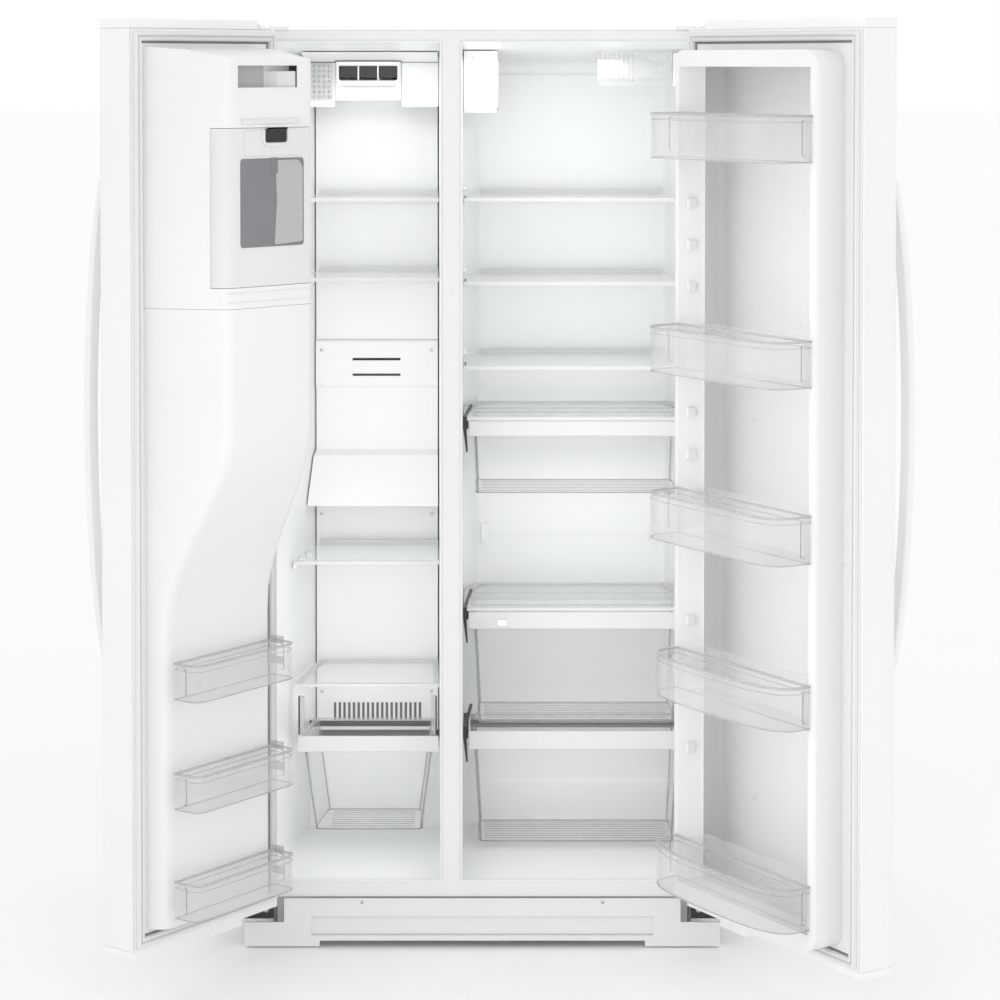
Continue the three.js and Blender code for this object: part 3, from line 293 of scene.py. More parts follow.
def add_tube(bm, path, radius, sides=10):
    """Round tube along a list of points."""
    points = [Vector(p) for p in path]
    rings = []
    side = None
    for i, point in enumerate(points):
        ahead = points[min(i + 1, len(points) - 1)] - points[max(i - 1, 0)]
        ahead.normalize()
        if side is None:
            side = ahead.orthogonal().normalized()
        side = (side - ahead * side.dot(ahead)).normalized()
        up = ahead.cross(side)
        rings.append([point + side * x + up * y for x, y in circle(radius, sides)])
    add_loft(bm, rings)


def smooth_path(points, steps=8):
    """Catmull-Rom curve through the points."""
    knots = [Vector(p) for p in points]
    knots = [knots[0] * 2 - knots[1]] + knots + [knots[-1] * 2 - knots[-2]]
    path = []
    for a, b, c, d in zip(knots, knots[1:], knots[2:], knots[3:]):
        square = 2 * a - 5 * b + 4 * c - d
        cube = 3 * b - a - 3 * c + d
        for step in range(steps):
            t = step / steps
            path.append(0.5 * (2 * b + (c - a) * t + square * t * t + cube * t**3))
    path.append(knots[-2])
    return path


def add_screw(bm, point, axis, radius=4.0):
    """Pan head screw with a socket."""
    profile = [
        (radius, 0),
        (radius, 0.25 * radius),
        (0.8 * radius, 0.55 * radius),
        (0.42 * radius, 0.62 * radius),
        (0.36 * radius, 0.2 * radius),
    ]
    add_lathe(bm, profile, point, axis, 14)


def shade(mesh, angle=32):
    mesh.polygons.foreach_set("use_smooth", [True] * len(mesh.polygons))
    mesh.set_sharp_from_angle(angle=math.radians(angle))


def bevel_edges(bm, width, segments=2, angle=32):
    edges = [
        e for e in bm.edges if len(e.link_faces) == 2 and e.calc_face_angle(0) > math.radians(angle)
    ]
    if edges and width:
        bmesh.ops.bevel(
            bm, geom=edges, offset=width, segments=segments, profile=0.5, affect="EDGES", clamp_overlap=True
        )


def finish(bm, name, body, material, place=CABINET, bevel=0.0, replaces=()):
    """Turn a mesh under construction into a piece that rides on a body."""
    bmesh.ops.recalc_face_normals(bm, faces=bm.faces)
    bevel_edges(bm, bevel)
    mesh = bpy.data.meshes.new(name)
    bm.to_mesh(mesh)
    bm.free()
    mesh.transform(place)
    shade(mesh)
    mesh.materials.append(material)
    piece = bpy.data.objects.new(name, mesh)
    bpy.context.scene.collection.objects.link(piece)
    weighted = piece.modifiers.new("even_normals", "WEIGHTED_NORMAL")
    weighted.keep_sharp = True
    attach(piece, body)
    if replaces:
        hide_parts(*replaces)
    return piece


def refine(node, material, bevel_mm):
    """Copy of a CAD node with its edges broken, which stands for it. Its rear faces keep their triangles."""
    source = frame["nodes"][node]
    bm = bmesh.new()
    bm.from_mesh(source.data)
    bmesh.ops.remove_doubles(bm, verts=bm.verts, dist=2e-5)
    if bevel_mm:
        rear = max(v.co.y for v in bm.verts) - 1e-4
        edges = [e for e in bm.edges if min(v.co.y for v in e.verts) < rear]
        bmesh.ops.dissolve_limit(bm, angle_limit=math.radians(0.6), verts=bm.verts, edges=edges)
        bevel_edges(bm, bevel_mm * MM)
    owner = next(b for b, nodes in frame["record"]["behaviour"]["bodies"].items() if node in nodes)
    mesh = bpy.data.meshes.new(node + "_fine")
    bm.to_mesh(mesh)
    bm.free()
    shade(mesh)
    mesh.materials.append(material)
    piece = bpy.data.objects.new(node + "_fine", mesh)
    bpy.context.scene.collection.objects.link(piece)
    weighted = piece.modifiers.new("even_normals", "WEIGHTED_NORMAL")
    weighted.keep_sharp = True
    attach(piece, owner)
    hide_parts(node)
    return piece


# ---------------------------------------------------------------- camera, lights and floor

CAMERA_DISTANCE = 5.2974
CAMERA_HEIGHT = 1.6882
CAMERA_TILT = 1.87
FLOOR_REACH = 90


def place_camera():
    """Level with the upper shelves, a little above the middle, and shifted to frame the whole cabinet."""
    data = bpy.data.cameras.new("camera")
    data.sensor_width = 36.0
    data.lens = 100.84
    data.shift_x = 0.0177
    data.shift_y = -0.3465
    data.clip_end = 200
    camera = bpy.data.objects.new("camera", data)
    bpy.context.scene.collection.objects.link(camera)
    camera.location = CABINET @ Vector() + Vector((0, -CAMERA_DISTANCE, CAMERA_HEIGHT))
    camera.rotation_euler = (math.radians(90 - CAMERA_TILT), 0, 0)
    bpy.context.scene.camera = camera


def area_light(name, location, target, size, power, color=(1, 1, 1)):
    data = bpy.data.lights.new(name, "AREA")
    data.shape = "RECTANGLE"
    data.size, data.size_y = size
    data.energy = power
    data.color = color
    light = bpy.data.objects.new(name, data)
    light.location = location
    light.rotation_euler = (Vector(target) - Vector(location)).to_track_quat("-Z", "Y").to_euler()
    bpy.context.scene.collection.objects.link(light)


def compartment_light(name, point, direction, size, power):
    """Soft light inside a compartment, placed in cabinet millimetres."""
    spot = CABINET @ Vector(point)
    area_light(name, spot, spot + Vector(direction), size, power)


def build_studio():
    """White surroundings, soft lights, lights inside the compartments, and the floor."""
    world = bpy.data.worlds.new("studio")
    bpy.context.scene.world = world
    world.use_nodes = True
    background = world.node_tree.nodes["Background"]
    background.inputs["Color"].default_value = (1.0, 1.0, 1.0, 1)
    background.inputs["Strength"].default_value = 1.0
    area_light("key", (-2.2, -4.5, 3.6), (0, 0, 0.9), (2.4, 2.4), 6)
    area_light("fill", (2.4, -4.5, 2.6), (0, 0, 0.9), (2.4, 2.4), 5)
    down, inward = (0, 0.05, -1), (0, 1, 0)
    compartment_light("front_fill", (0, -900, 900), inward, (1.0, 1.6), 0.35)
    compartment_light("door_fill", (-250, -1100, 950), (0.85, 0.75, 0), (0.5, 1.5), 1.6)
    compartment_light("freezer_lamp", (-220, 150, 1690), down, (0.16, 0.12), 0.35)
    compartment_light("fresh_food_lamp", (120, 150, 1690), down, (0.3, 0.12), 0.5)
    compartment_light("freezer_upper_fill", (-240, -2, 1350), inward, (0.24, 0.7), 0.25)
    compartment_light("freezer_lower_fill", (-240, -2, 600), inward, (0.24, 0.9), 0.48)
    compartment_light("fresh_food_upper_fill", (190, -2, 1350), inward, (0.4, 0.7), 0.38)
    compartment_light("fresh_food_lower_fill", (190, -2, 600), inward, (0.4, 0.9), 0.5)
    compartment_light("below_deli_fill", (190, 215, 760), (0, 1, -0.2), (0.36, 0.1), 0.12)
    compartment_light("lower_crisper_fill", (190, 216, 290), (0, 1, -0.4), (0.36, 0.06), 0.07)
    compartment_light("basket_fill", (-225, 216, 420), (0, 1, -0.3), (0.2, 0.06), 0.09)
    compartment_light("lower_shelf_fill", (190, 205, 1050), (0, 1, -0.2), (0.36, 0.06), 0.07)
    panel_light = FRESH_DOOR @ Vector((200, 320, 920))
    area_light("door_panel_fill", panel_light, FRESH_DOOR @ Vector((190, 0, 920)), (0.3, 1.5), 0.65)
    bm = bmesh.new()
    add_box(bm, (-FLOOR_REACH, -FLOOR_REACH, -0.02), (FLOOR_REACH, FLOOR_REACH, 0))
    mesh = bpy.data.meshes.new("floor")
    bm.to_mesh(mesh)
    bm.free()
    floor = bpy.data.objects.new("floor", mesh)
    bpy.context.scene.collection.objects.link(floor)
    mesh.materials.append(solid_material("floor_white", (0.97, 0.97, 0.97), 0.8, spread=0.004))
    scene = bpy.context.scene
    scene.view_settings.view_transform = "Standard"
    scene.cycles.transparent_max_bounces = 32
    scene.cycles.max_bounces = 14
    scene.cycles.diffuse_bounces = 7
    scene.cycles.use_denoising = True


# ---------------------------------------------------------------- cabinet

CASE_DEPTH = 580
SHELF_FRONT = 200
FREEZER_DEPTH = 510
FREEZER_REAR_COVER = 437
GLASS_THICK = 4
FREEZER_SHELVES = {"top": 1421, "middle": 1264, "lower": 704}
FRESH_SHELVES = {"top": 1421, "middle": 1256, "lower": 1090}


def freezer_wall(y):
    """X of the freezer's outer wall at depth y."""
    return -418 + 87 * y / FREEZER_DEPTH


def freezer_mullion(y):
    """X of the freezer's wall on the mullion side at depth y."""
    return -79.5 - 11 * y / FREEZER_DEPTH


def refine_cabinet():
    """Cabinet pieces that keep their CAD shape, each with its finish and the width of its broken edges."""
    parts = {
        "outer_case": (SHADED_CASE_PAINT, 1.0),
        "back_panel": (ZINC, 0),
        "freezer_liner": (LINER, 1.0),
        "fresh_food_liner": (LINER, 0),
        "fresh_food_liner_top": (LINER, 0),
        "fresh_food_liner_left": (LINER, 0),
        "fresh_food_liner_right": (LINER, 0),
        "base_pan": (ZINC, 0.6),
        "base_grille": (GRILLE_PLASTIC, 1.2),
        "roller_axle": (BLACK_PLASTIC, 1.5),
        "top_hinge_left": (PAINT, 0.8),
        "top_hinge_right": (PAINT, 0.8),
        "bottom_hinge_left": (BLACK_STEEL, 1.2),
        "bottom_hinge_right": (BLACK_STEEL, 1.2),
        "compressor": (BLACK_STEEL, 3.0),
        "condenser_fan": (BLACK_PLASTIC, 0.5),
        "evaporator_fan": (GREY_PLASTIC, 0.5),
        "freezer_back_panel": (WHITE_PLASTIC, 0.8),
        "control_box": (WHITE_PLASTIC, 1.2),
        "light_cover": (LAMP_COVER, 1.0),
        "humidity_slider": (WHITE_PLASTIC, 0.8),
    }
    for node, (material, bevel) in parts.items():
        refine(node, material, bevel)
    for node in ("condenser", "evaporator"):
        frame["nodes"][node].data.materials.clear()
        frame["nodes"][node].data.materials.append(ALUMINIUM)


def shelf_pieces(node, body, plan, glass_z, trims):
    """A shelf's glass plate, and the moulded trims round it."""
    bm = bmesh.new()
    add_prism(bm, plan, glass_z - GLASS_THICK, glass_z)
    finish(bm, node + "_glass", body, GLASS, bevel=0.6, replaces=(node,))
    bm = bmesh.new()
    for low, high in trims:
        add_box(bm, low, high)
    finish(bm, node + "_trim", body, RAIL_PLASTIC, bevel=1.4)


def build_freezer_shelves():
    """Three glass shelves, and the rests under them on the outer wall."""
    back = 428
    for name, top in FREEZER_SHELVES.items():
        plan = [
            (freezer_wall(204) + 12, 204),
            (freezer_mullion(204) - 1.5, 204),
            (freezer_mullion(back) - 1.5, back),
            (freezer_wall(back) + 12, back),
        ]
        trims = [
            ((freezer_wall(200) + 12, 200, top - 8), (freezer_mullion(200) - 1.5, 209.5, top)),
            ((freezer_wall(back) + 12, back - 9, top - 8), (freezer_mullion(back) - 1.5, back, top + 5.5)),
        ]
        shelf_pieces(f"freezer_shelf_{name}", "cabinet", plan, top - 0.7, trims)
    bm = bmesh.new()
    for top in FREEZER_SHELVES.values():
        for y in (240, 300, 360):
            x = freezer_wall(y)
            add_prism(bm, eased(rectangle(y - 12, top - 20, y + 12, top - 8.4), 4), x + 1, x + 11, "YZ")
    finish(bm, "freezer_shelf_rests", "cabinet", WHITE_PLASTIC, bevel=1.0)


FRESH_LEFT = -36.5
FRESH_RIGHT = 404
FRESH_COVE = 400
FRESH_BACK = 492


def fresh_plan(y0, y1, by=0.0):
    """Plan between the fresh food walls, following the coves at the rear wall."""
    slope = 30 / (FRESH_BACK - FRESH_COVE)
    lean = max(0.0, (y1 - FRESH_COVE) * slope) + 1
    return [
        (FRESH_LEFT + by, y0 + by),
        (FRESH_RIGHT - by, y0 + by),
        (FRESH_RIGHT - by, FRESH_COVE - by),
        (FRESH_RIGHT - lean - by, y1 - by),
        (FRESH_LEFT + lean + by, y1 - by),
        (FRESH_LEFT + by, FRESH_COVE - by),
    ]


def build_fresh_shelves():
    """Three glass shelves with their arms, stops and the bosses on the walls behind them."""
    back = 482
    for name, top in FRESH_SHELVES.items():
        trims = [
            ((FRESH_LEFT, 200, top - 8), (FRESH_RIGHT, 209.5, top)),
            ((FRESH_LEFT + 34, back - 9, top - 8), (FRESH_RIGHT - 34, back, top + 5.5)),
        ]
        shelf_pieces(f"fresh_food_shelf_{name}", "cabinet", fresh_plan(204, back), top - 0.7, trims)
    bm = bmesh.new()
    for top in FRESH_SHELVES.values():
        for x in (FRESH_LEFT + 2, FRESH_RIGHT - 6):
            side = [(208, top - 9), (208, top - 13), (392, top - 22), (396, top - 5), (230, top - 5)]
            add_prism(bm, side, x, x + 4, "YZ")
    finish(bm, "fresh_food_shelf_arms", "cabinet", WHITE_PLASTIC, bevel=0.8)
    bm = bmesh.new()
    for top in FRESH_SHELVES.values():
        side = [(206, top - 8.5), (206, top - 5), (250, top + 1.5), (262, top + 1.5), (262, top - 2)]
        add_prism(bm, side, FRESH_LEFT + 1.5, FRESH_LEFT + 4.5, "YZ")
    finish(bm, "fresh_food_shelf_stops", "cabinet", BLACK_PLASTIC, bevel=0.4)
    bm = bmesh.new()
    for top in FRESH_SHELVES.values():
        for y in (330, 362, 388):
            add_lathe(bm, [(5, 0), (5, 5), (3.5, 6.5)], (-38.4, y, top + 12), (1, 0, 0), 14)
            add_lathe(bm, [(5, 0), (5, 5), (3.5, 6.5)], (411, y, top + 12), (-1, 0, 0), 14)
    finish(bm, "fresh_food_wall_bosses", "cabinet", LINER, bevel=0.6)


def cover_pieces(node, outer, inner, low, high):
    """Drawer cover: glass in a moulded frame."""
    bm = bmesh.new()
    add_band(bm, outer, inner, low, high)
    finish(bm, node + "_frame", "cabinet", RAIL_PLASTIC, bevel=1.2, replaces=(node,))
    bm = bmesh.new()
    add_prism(bm, inner, low + 1.5, low + 5)
    finish(bm, node + "_glass", "cabinet", GLASS, bevel=0.4)


def build_covers():
    """Glass covers of the deli drawer, the crispers and the freezer basket."""
    for node in ("deli_drawer_cover", "crisper_cover"):
        low, high = cabinet_box(node)
        cover_pieces(node, fresh_plan(202, 472), fresh_plan(202, 472, 12), low.z, high.z)
        bm = bmesh.new()
        for step in range(3):
            y = 250 + step * 62
            add_box(bm, (FRESH_LEFT + 20, y, low.z + 1.2), (FRESH_RIGHT - 20, y + 3, high.z - 2.2))
        finish(bm, node + "_ribs", "cabinet", CLEAR_EDGE, bevel=0.5)
    low, high = cabinet_box("freezer_basket_cover")

    def plan(by):
        y0, y1 = 202 + by, 428 - by
        return [
            (freezer_wall(y0) + 10 + by, y0),
            (freezer_mullion(y0) - 1.5 - by, y0),
            (freezer_mullion(y1) - 1.5 - by, y1),
            (freezer_wall(y1) + 10 + by, y1),
        ]

    cover_pieces("freezer_basket_cover", plan(0), plan(11), low.z, high.z)


RAIL_THICK = 14
# X of each drawer's four corners (front left and right, rear left and right), taper, foot of its rail
SIDES = {
    "freezer_basket": (-364, -87, -345, -92, 24, 324),
    "deli_drawer": (-26, 398, -26, 398, 6, 951),
    "upper_crisper": (-26, 398, -26, 398, 10, 569),
    "lower_crisper": (-26, 398, -26, 398, 12, 329),
}


def tub_plan(x0, x1, x2, x3, inset, y0, y1, radius):
    """Plan of a drawer's tub: x0 and x1 are its front corners, x2 and x3 its rear corners."""
    plan = [(x0 + inset, y0), (x1 - inset, y0), (x3 - inset, y1), (x2 + inset, y1)]
    return eased(plan, radius)


def build_drawer(node, body):
    """Clear tub with ribs across its floor, a dense rim, and a white front rail with a finger lip."""
    x0, x1, x2, x3, taper, rail_bottom = SIDES[node]
    low, high = cabinet_box(node)
    bottom, top = low.z, high.z
    y1 = high.y - 4
    wall = 2.5
    rim = top - 4

    def ring(level, inset, z):
        """The tub's outline at its foot (level 0) or its rim (level 1)."""
        grow = taper * (1 - level)
        front = 203 + 8 * (1 - level)
        back = y1 - 12 * (1 - level)
        plan = tub_plan(x0, x1, x2, x3, 7 + grow + inset, front + inset, back - inset, 16 - inset)
        return [(x, y, z) for x, y in plan]

    bm = bmesh.new()
    outside = [ring(0, 0, bottom), ring(1, 0, rim)]
    inside = [ring(1, wall, rim), ring(0, wall, bottom + wall)]
    add_loft(bm, outside + inside)
    finish(bm, node + "_tub", body, TUB, replaces=(node,))
    bm = bmesh.new()
    outline = tub_plan(x0, x1, x2, x3, 3, 204, y1 + 3, 18)
    hollow = tub_plan(x0, x1, x2, x3, 9, 206, y1 - 2, 13)
    add_band(bm, outline, hollow, rim - 6, rim)
    finish(bm, node + "_rim", body, CLEAR_EDGE, bevel=0.5)
    bm = bmesh.new()
    levels = ((-0.6, 0.2), (-0.6, 2.6), (1.4, 2.6), (1.4, 0.2))
    add_loft(bm, [ring(0, inset, bottom + rise) for inset, rise in levels], cyclic=True)
    inset = 7 + taper + 12
    left, right = max(x0, x2) + inset, min(x1, x3) - inset
    ribs = 8
    for i in range(ribs):
        y = 226 + i * (y1 - 258) / (ribs - 1)
        add_box(bm, (left, y, bottom + 2.6), (right, y + 1.6, bottom + 3.3))
    lower, upper = ring(0, 0.4, bottom + 3), ring(1, 0.4, rim - 6)
    corner = len(lower) // 4
    for i in range(4):
        post = i * corner + corner // 2
        add_tube(bm, [lower[post], upper[post]], 1.7, 6)
    finish(bm, node + "_lines", body, TUB_EDGE)
    bm = bmesh.new()
    section = [
        (SHELF_FRONT, rail_bottom),
        (SHELF_FRONT + RAIL_THICK, rail_bottom),
        (SHELF_FRONT + RAIL_THICK, top - 5),
        (SHELF_FRONT + 5, top),
        (SHELF_FRONT + 1, top - 0.5),
    ]
    add_prism(bm, eased(section, [3, 2, 2, 3, 3], 3), x0, x1, "YZ")
    finish(bm, node + "_rail", body, RAIL_PLASTIC, bevel=0.8)


def build_drawers():
    bodies = {
        "freezer_basket": "basket",
        "deli_drawer": "deli",
        "upper_crisper": "crisper_upper",
        "lower_crisper": "crisper_lower",
    }
    for node, body in bodies.items():
        build_drawer(node, body)


def build_slides():
    """Dark runners and hooks of the fresh food drawers, the posts and stop round the freezer basket, and a dark
    strip painted as the shadow between the crispers.
    """
    bm = bmesh.new()
    for node in ("deli_drawer", "upper_crisper", "lower_crisper"):
        top = cabinet_box(node)[1].z
        runner = rectangle(206, top - 16, 392, top - 8)
        add_prism(bm, runner, FRESH_LEFT - 1, FRESH_LEFT + 9, "YZ")
        add_prism(bm, runner, 399.2, 406.5, "YZ")
        strip = [(-37.8, 203), (-30.5, 203), (-20, 400), (-26, 400)]
        add_prism(bm, strip, top + 4, top + 9)
        hook = [
            (-37.8, top + 9), (-30.2, top + 9), (-31.4, top - 8), (-28.6, top - 60),
            (-31.6, top - 62), (-37.8, top - 14),
        ]
        add_prism(bm, hook, 198, 203, "XZ")
    finish(bm, "fresh_food_runners", "cabinet", BLACK_PLASTIC, bevel=0.5)
    bm = bmesh.new()
    low, high = cabinet_box("freezer_basket")
    top = high.z
    for x in (-364, -92.6):
        add_box(bm, (x, 205, top + 2), (x + 2.6, 214, top + 78))
    finish(bm, "freezer_runners", "cabinet", BLACK_PLASTIC, bevel=0.5)
    bm = bmesh.new()
    for x0, x1 in ((-361, -352), (-102, -93)):
        add_box(bm, (x0, 205, top + 2), (x1, 214, top + 78))
    finish(bm, "basket_cover_posts", "cabinet", CLEAR_EDGE, bevel=0.8)
    # Painted shadow: a dark strip in the gap between the upper and the lower crisper.
    bm = bmesh.new()
    low, high = cabinet_box("lower_crisper")
    add_box(bm, (-24, 219, high.z + 3), (396, 262, high.z + 9))
    finish(bm, "crisper_gap_painted_shadow", "cabinet", SEAM_AND_SHADOW_GREY, bevel=1.0)
    bm = bmesh.new()
    add_box(bm, (-352, 374, 334), (-100, 378, 346))
    finish(bm, "basket_rear_stop", "cabinet", BLACK_PLASTIC, bevel=1.0)


def build_ceiling_fittings():
    """Lamp lens in the freezer, lamp in the fresh food compartment, seams of the housings and the sensor's cover.
    """
    bm = bmesh.new()
    add_box(bm, (-355, 337, 1613), (-301, 346.6, 1686))
    finish(bm, "freezer_lamp_lens", "cabinet", LENS, bevel=2.0)
    bm = bmesh.new()
    for row in range(7):
        for column in range(5):
            point = (-348 + column * 10, 336.8, 1618 + row * 10.4)
            add_lathe(bm, [(3.6, 0), (3.0, 1.6), (1.2, 2.4)], point, (0, -1, 0), 8)
    finish(bm, "freezer_lamp_prisms", "cabinet", CLEAR_EDGE)
    bm = bmesh.new()
    profile = [(9, 0), (13, 8), (13, 16), (22, 34), (26, 52), (24, 66), (14, 78), (4, 82)]
    add_lathe(bm, profile, (350, 246, 1676), (-1, 0, 0), 18)
    finish(bm, "fresh_food_lamp_bulb", "cabinet", LENS)
    bm = bmesh.new()
    add_box(bm, (30.6, 197, 1592), (31.6, 388, 1688))
    add_box(bm, (-36, 193.6, 1655), (29, 194.8, 1656.2))
    add_box(bm, (-20, 193.6, 1600), (-18.8, 194.8, 1698))
    finish(bm, "control_box_seams", "cabinet", GREY_PLASTIC, bevel=0.2)
    low, high = cabinet_box("light_cover")
    bm = bmesh.new()
    for x in range(232, 302, 9):
        add_box(bm, (x, low.y + 0.2, low.z + 6), (x + 1.2, low.y + 1.4, high.z - 6))
    finish(bm, "fresh_food_lamp_ribs", "cabinet", CLEAR_EDGE)
    bm = bmesh.new()
    add_prism(bm, eased(rectangle(374, 1640, 392, 1706), 4), 196, 226, "XZ")
    for z in (1662, 1672):
        add_box(bm, (376, 194.6, z), (390, 196.6, z + 3))
    finish(bm, "fresh_food_sensor_cover", "cabinet", WHITE_PLASTIC, bevel=1.0)


def build_duct_details():
    """White panel that closes the freezer's top rear corner, and the outlet's surround, lip and dividers."""
    bm = bmesh.new()
    side = [(347, 1598), (351, 1598), (351, 1700), (240, 1708), (240, 1706), (347, 1688)]
    add_prism(bm, side, freezer_wall(346) + 1.5, -297, "YZ")
    add_prism(bm, side, -162, freezer_mullion(346) - 1.5, "YZ")
    above = [(343, 1691), (350, 1700), (240, 1708), (240, 1706)]
    add_prism(bm, above, -297, -162, "YZ")
    finish(bm, "freezer_duct_wings", "cabinet", WHITE_PLASTIC)
    bm = bmesh.new()
    outer = eased(rectangle(-293, 1641, -166, 1689), [12, 12, 2, 2])
    inner = eased(rectangle(-288.5, 1652, -170.5, 1681), [4, 4, 1, 1])
    add_band(bm, outer, inner, 333, 344.6, "XZ")
    lip = [(324, 1647), (333, 1641), (344, 1641), (344, 1652), (333, 1652), (324, 1650)]
    add_prism(bm, lip, -284, -175, "YZ")
    for i in (1, 2):
        x = -288.5 + i * 118 / 3
        add_box(bm, (x - 1.5, 334, 1651), (x + 1.5, 344.6, 1682))
    finish(bm, "freezer_vent_surround", "cabinet", WHITE_PLASTIC, bevel=0.9)
    bm = bmesh.new()
    add_box(bm, (-289, 343.2, 1657), (-170, 344.4, 1680))
    finish(bm, "freezer_duct_shadow", "cabinet", BLACK_PLASTIC)
    bm = bmesh.new()
    add_box(bm, (freezer_wall(346) + 2, 345, 1687), (-294, 347, 1689))
    add_box(bm, (-165, 345, 1687), (freezer_mullion(346) - 2, 347, 1689))
    finish(bm, "freezer_ceiling_seam", "cabinet", SEAM_AND_SHADOW_GREY)


VENT_PANEL_FOOT = 1026


def build_freezer_panel_details():
    """Edges of the rear cover, its screws, and painted shadow behind its slots, black behind the upper vent's top
    rows.
    """
    # Painted shadow: dark grey behind the slots of both vents.
    bm = bmesh.new()
    add_box(bm, (-272, 440.6, 1040), (-162, 442, 1086))
    add_box(bm, (-312, 440.6, 326), (-120, 442, 374))
    finish(bm, "freezer_vent_shadow", "cabinet", SEAM_AND_SHADOW_GREY)
    # Painted shadow: black behind the upper vent's top rows of slots.
    bm = bmesh.new()
    add_box(bm, (-272, 439.6, 1064), (-162, 440.4, 1086))
    finish(bm, "freezer_vent_painted_shadow_rows", "cabinet", BLACK_PLASTIC)
    bm = bmesh.new()
    for x, z in ((-330, 1098), (-104, 1098), (-330, 760), (-104, 760), (-330, 392), (-104, 392)):
        face = FREEZER_REAR_COVER - (5 if z > VENT_PANEL_FOOT else 0)
        add_screw(bm, (x, face + 0.2, z), (0, -1, 0), 3.4)
    finish(bm, "freezer_panel_screws", "cabinet", ZINC)
    bm = bmesh.new()
    for z in (1118, 1023, 322):
        add_box(bm, (-340, 434.6, z), (-93, 436.8, z + 1.4))
    finish(bm, "freezer_panel_seams", "cabinet", GREY_PLASTIC, bevel=0.3)


def build_fresh_wall_details():
    """Raised line across the rear wall and the air outlets beside the shelves."""
    bm = bmesh.new()
    add_box(bm, (0, 489.5, 708), (366, 491.8, 713))
    add_box(bm, (2, 489.8, 1660), (364, 491.8, 1663))
    finish(bm, "fresh_food_wall_lines", "cabinet", LINER, bevel=0.9)
    bm = bmesh.new()
    for x in (6, 356):
        add_prism(bm, eased(rectangle(x - 9, 690, x + 9, 732), 6), 484, 491.8, "XZ")
    finish(bm, "fresh_food_wall_pads", "cabinet", LINER, bevel=1.5)


def build_grille_details():
    """Screws and band edges of the toe grille, and the screws of the bottom hinges."""
    bm = bmesh.new()
    for x in (-229, 229):
        add_screw(bm, (x, -10.1, 88), (0, -1, 0), 3.2)
    finish(bm, "grille_screws", "cabinet", ZINC)
    bm = bmesh.new()
    add_box(bm, (-325.6, -5.4, 58.6), (325.6, -4.6, 59.6))
    add_box(bm, (-325.6, -5.4, 24.6), (325.6, -4.6, 26.2))
    finish(bm, "grille_seams", "cabinet", GREY_PLASTIC)
    bm = bmesh.new()
    for side in (-1, 1):
        for x in (412, 448):
            add_screw(bm, (side * x, -7.2, 73), (0, -1, 0), 5)
    finish(bm, "bottom_hinge_screws", "cabinet", ZINC)


def build_top_details():
    """Hinge screws and covers on the cabinet's top."""
    bm = bmesh.new()
    for side in (-1, 1):
        for y in (25, 60):
            add_screw(bm, (side * 430, y, 1756), (0, 0, 1), 6)
    finish(bm, "top_hinge_screws", "cabinet", ZINC)
    bm = bmesh.new()
    for side in (-1, 1):
        outline = eased(rectangle(side * 388 - 17, 10, side * 388 + 17, 78), 8)
        add_prism(bm, outline, 1747.3, 1756)
    finish(bm, "top_hinge_covers", "cabinet", WHITE_PLASTIC, bevel=2.0)


def build_rear_details():
    """Screws and ribs of the rear sheet, the water inlet valve and the machine's pipes."""
    bm = bmesh.new()
    y = CASE_DEPTH - 0.4
    for i in range(9):
        z = 130 + i * 200
        for x in (-440, 440):
            add_screw(bm, (x, y, min(z, 1730)), (0, 1, 0), 4)
    finish(bm, "rear_screws", "cabinet", ZINC)
    bm = bmesh.new()
    for i in range(3):
        x = -250 + i * 250
        add_prism(bm, eased(rectangle(x - 4, 340, x + 4, 1660), 3), y - 0.4, y + 0.1, "XZ")
    finish(bm, "rear_ribs", "cabinet", ZINC)
    bm = bmesh.new()
    compressor_top = (300, 490, 262)
    pipes = [
        [compressor_top, (300, 488, 285), (250, 470, 284), (120, 452, 278), (-10, 450, 262), (-30, 470, 250)],
        [(250, 520, 150), (200, 540, 130), (120, 552, 120), (0, 552, 118), (-26, 530, 125)],
    ]
    for path in pipes:
        add_tube(bm, smooth_path(path), 4)
    finish(bm, "refrigerant_pipes", "cabinet", COPPER)
    bm = bmesh.new()
    add_box(bm, (405, 540, 130), (435, 577, 185))
    add_lathe(bm, [(9, 0), (9, 12), (7, 13), (7, 0.5)], (420, 558, 130), (0, 0, -1), 16)
    finish(bm, "water_inlet_valve", "cabinet", WHITE_PLASTIC, bevel=1.5)


# ---------------------------------------------------------------- doors

DOOR_OUTER = -94
PANEL = {"top": 1748, "bottom": 106}
SPLIT = {"freezer": -60.8, "fresh": -57.8}


def build_gasket(node, body, place, x0, x1):
    """Seal with two round lips and a groove between them, run round the door, and a dark band inside it painted as
    the shade between seal and door liner.
    """
    z0, z1 = PANEL["bottom"] + 6, PANEL["top"] - 6
    section = [
        (0, -11.4), (16, -11.4), (16, -8), (14.5, -4.2), (12, -2.8), (10, -4.4), (9, -8.6),
        (7, -8.6), (6, -4.4), (4, -2.8), (1.5, -4.2), (0, -8),
    ]
    bm = bmesh.new()
    rings = [
        [(x, y, z) for x, z in rectangle(x0 + u, z0 + u, x1 - u, z1 - u)] for u, y in section
    ]
    add_loft(bm, rings, cyclic=True)
    finish(bm, node + "_lips", body, SEAL, place, replaces=(node,))
    # Painted shade: a dark band just inside the seal, along the door liner.
    bm = bmesh.new()
    outer, inner = (rectangle(x0 + by, z0 + by, x1 - by, z1 - by) for by in (16.4, 20.4))
    add_band(bm, outer, inner, -11.5, -10.9, "XZ")
    finish(bm, node + "_liner_shadow", body, SEAM_AND_SHADOW_GREY, place)


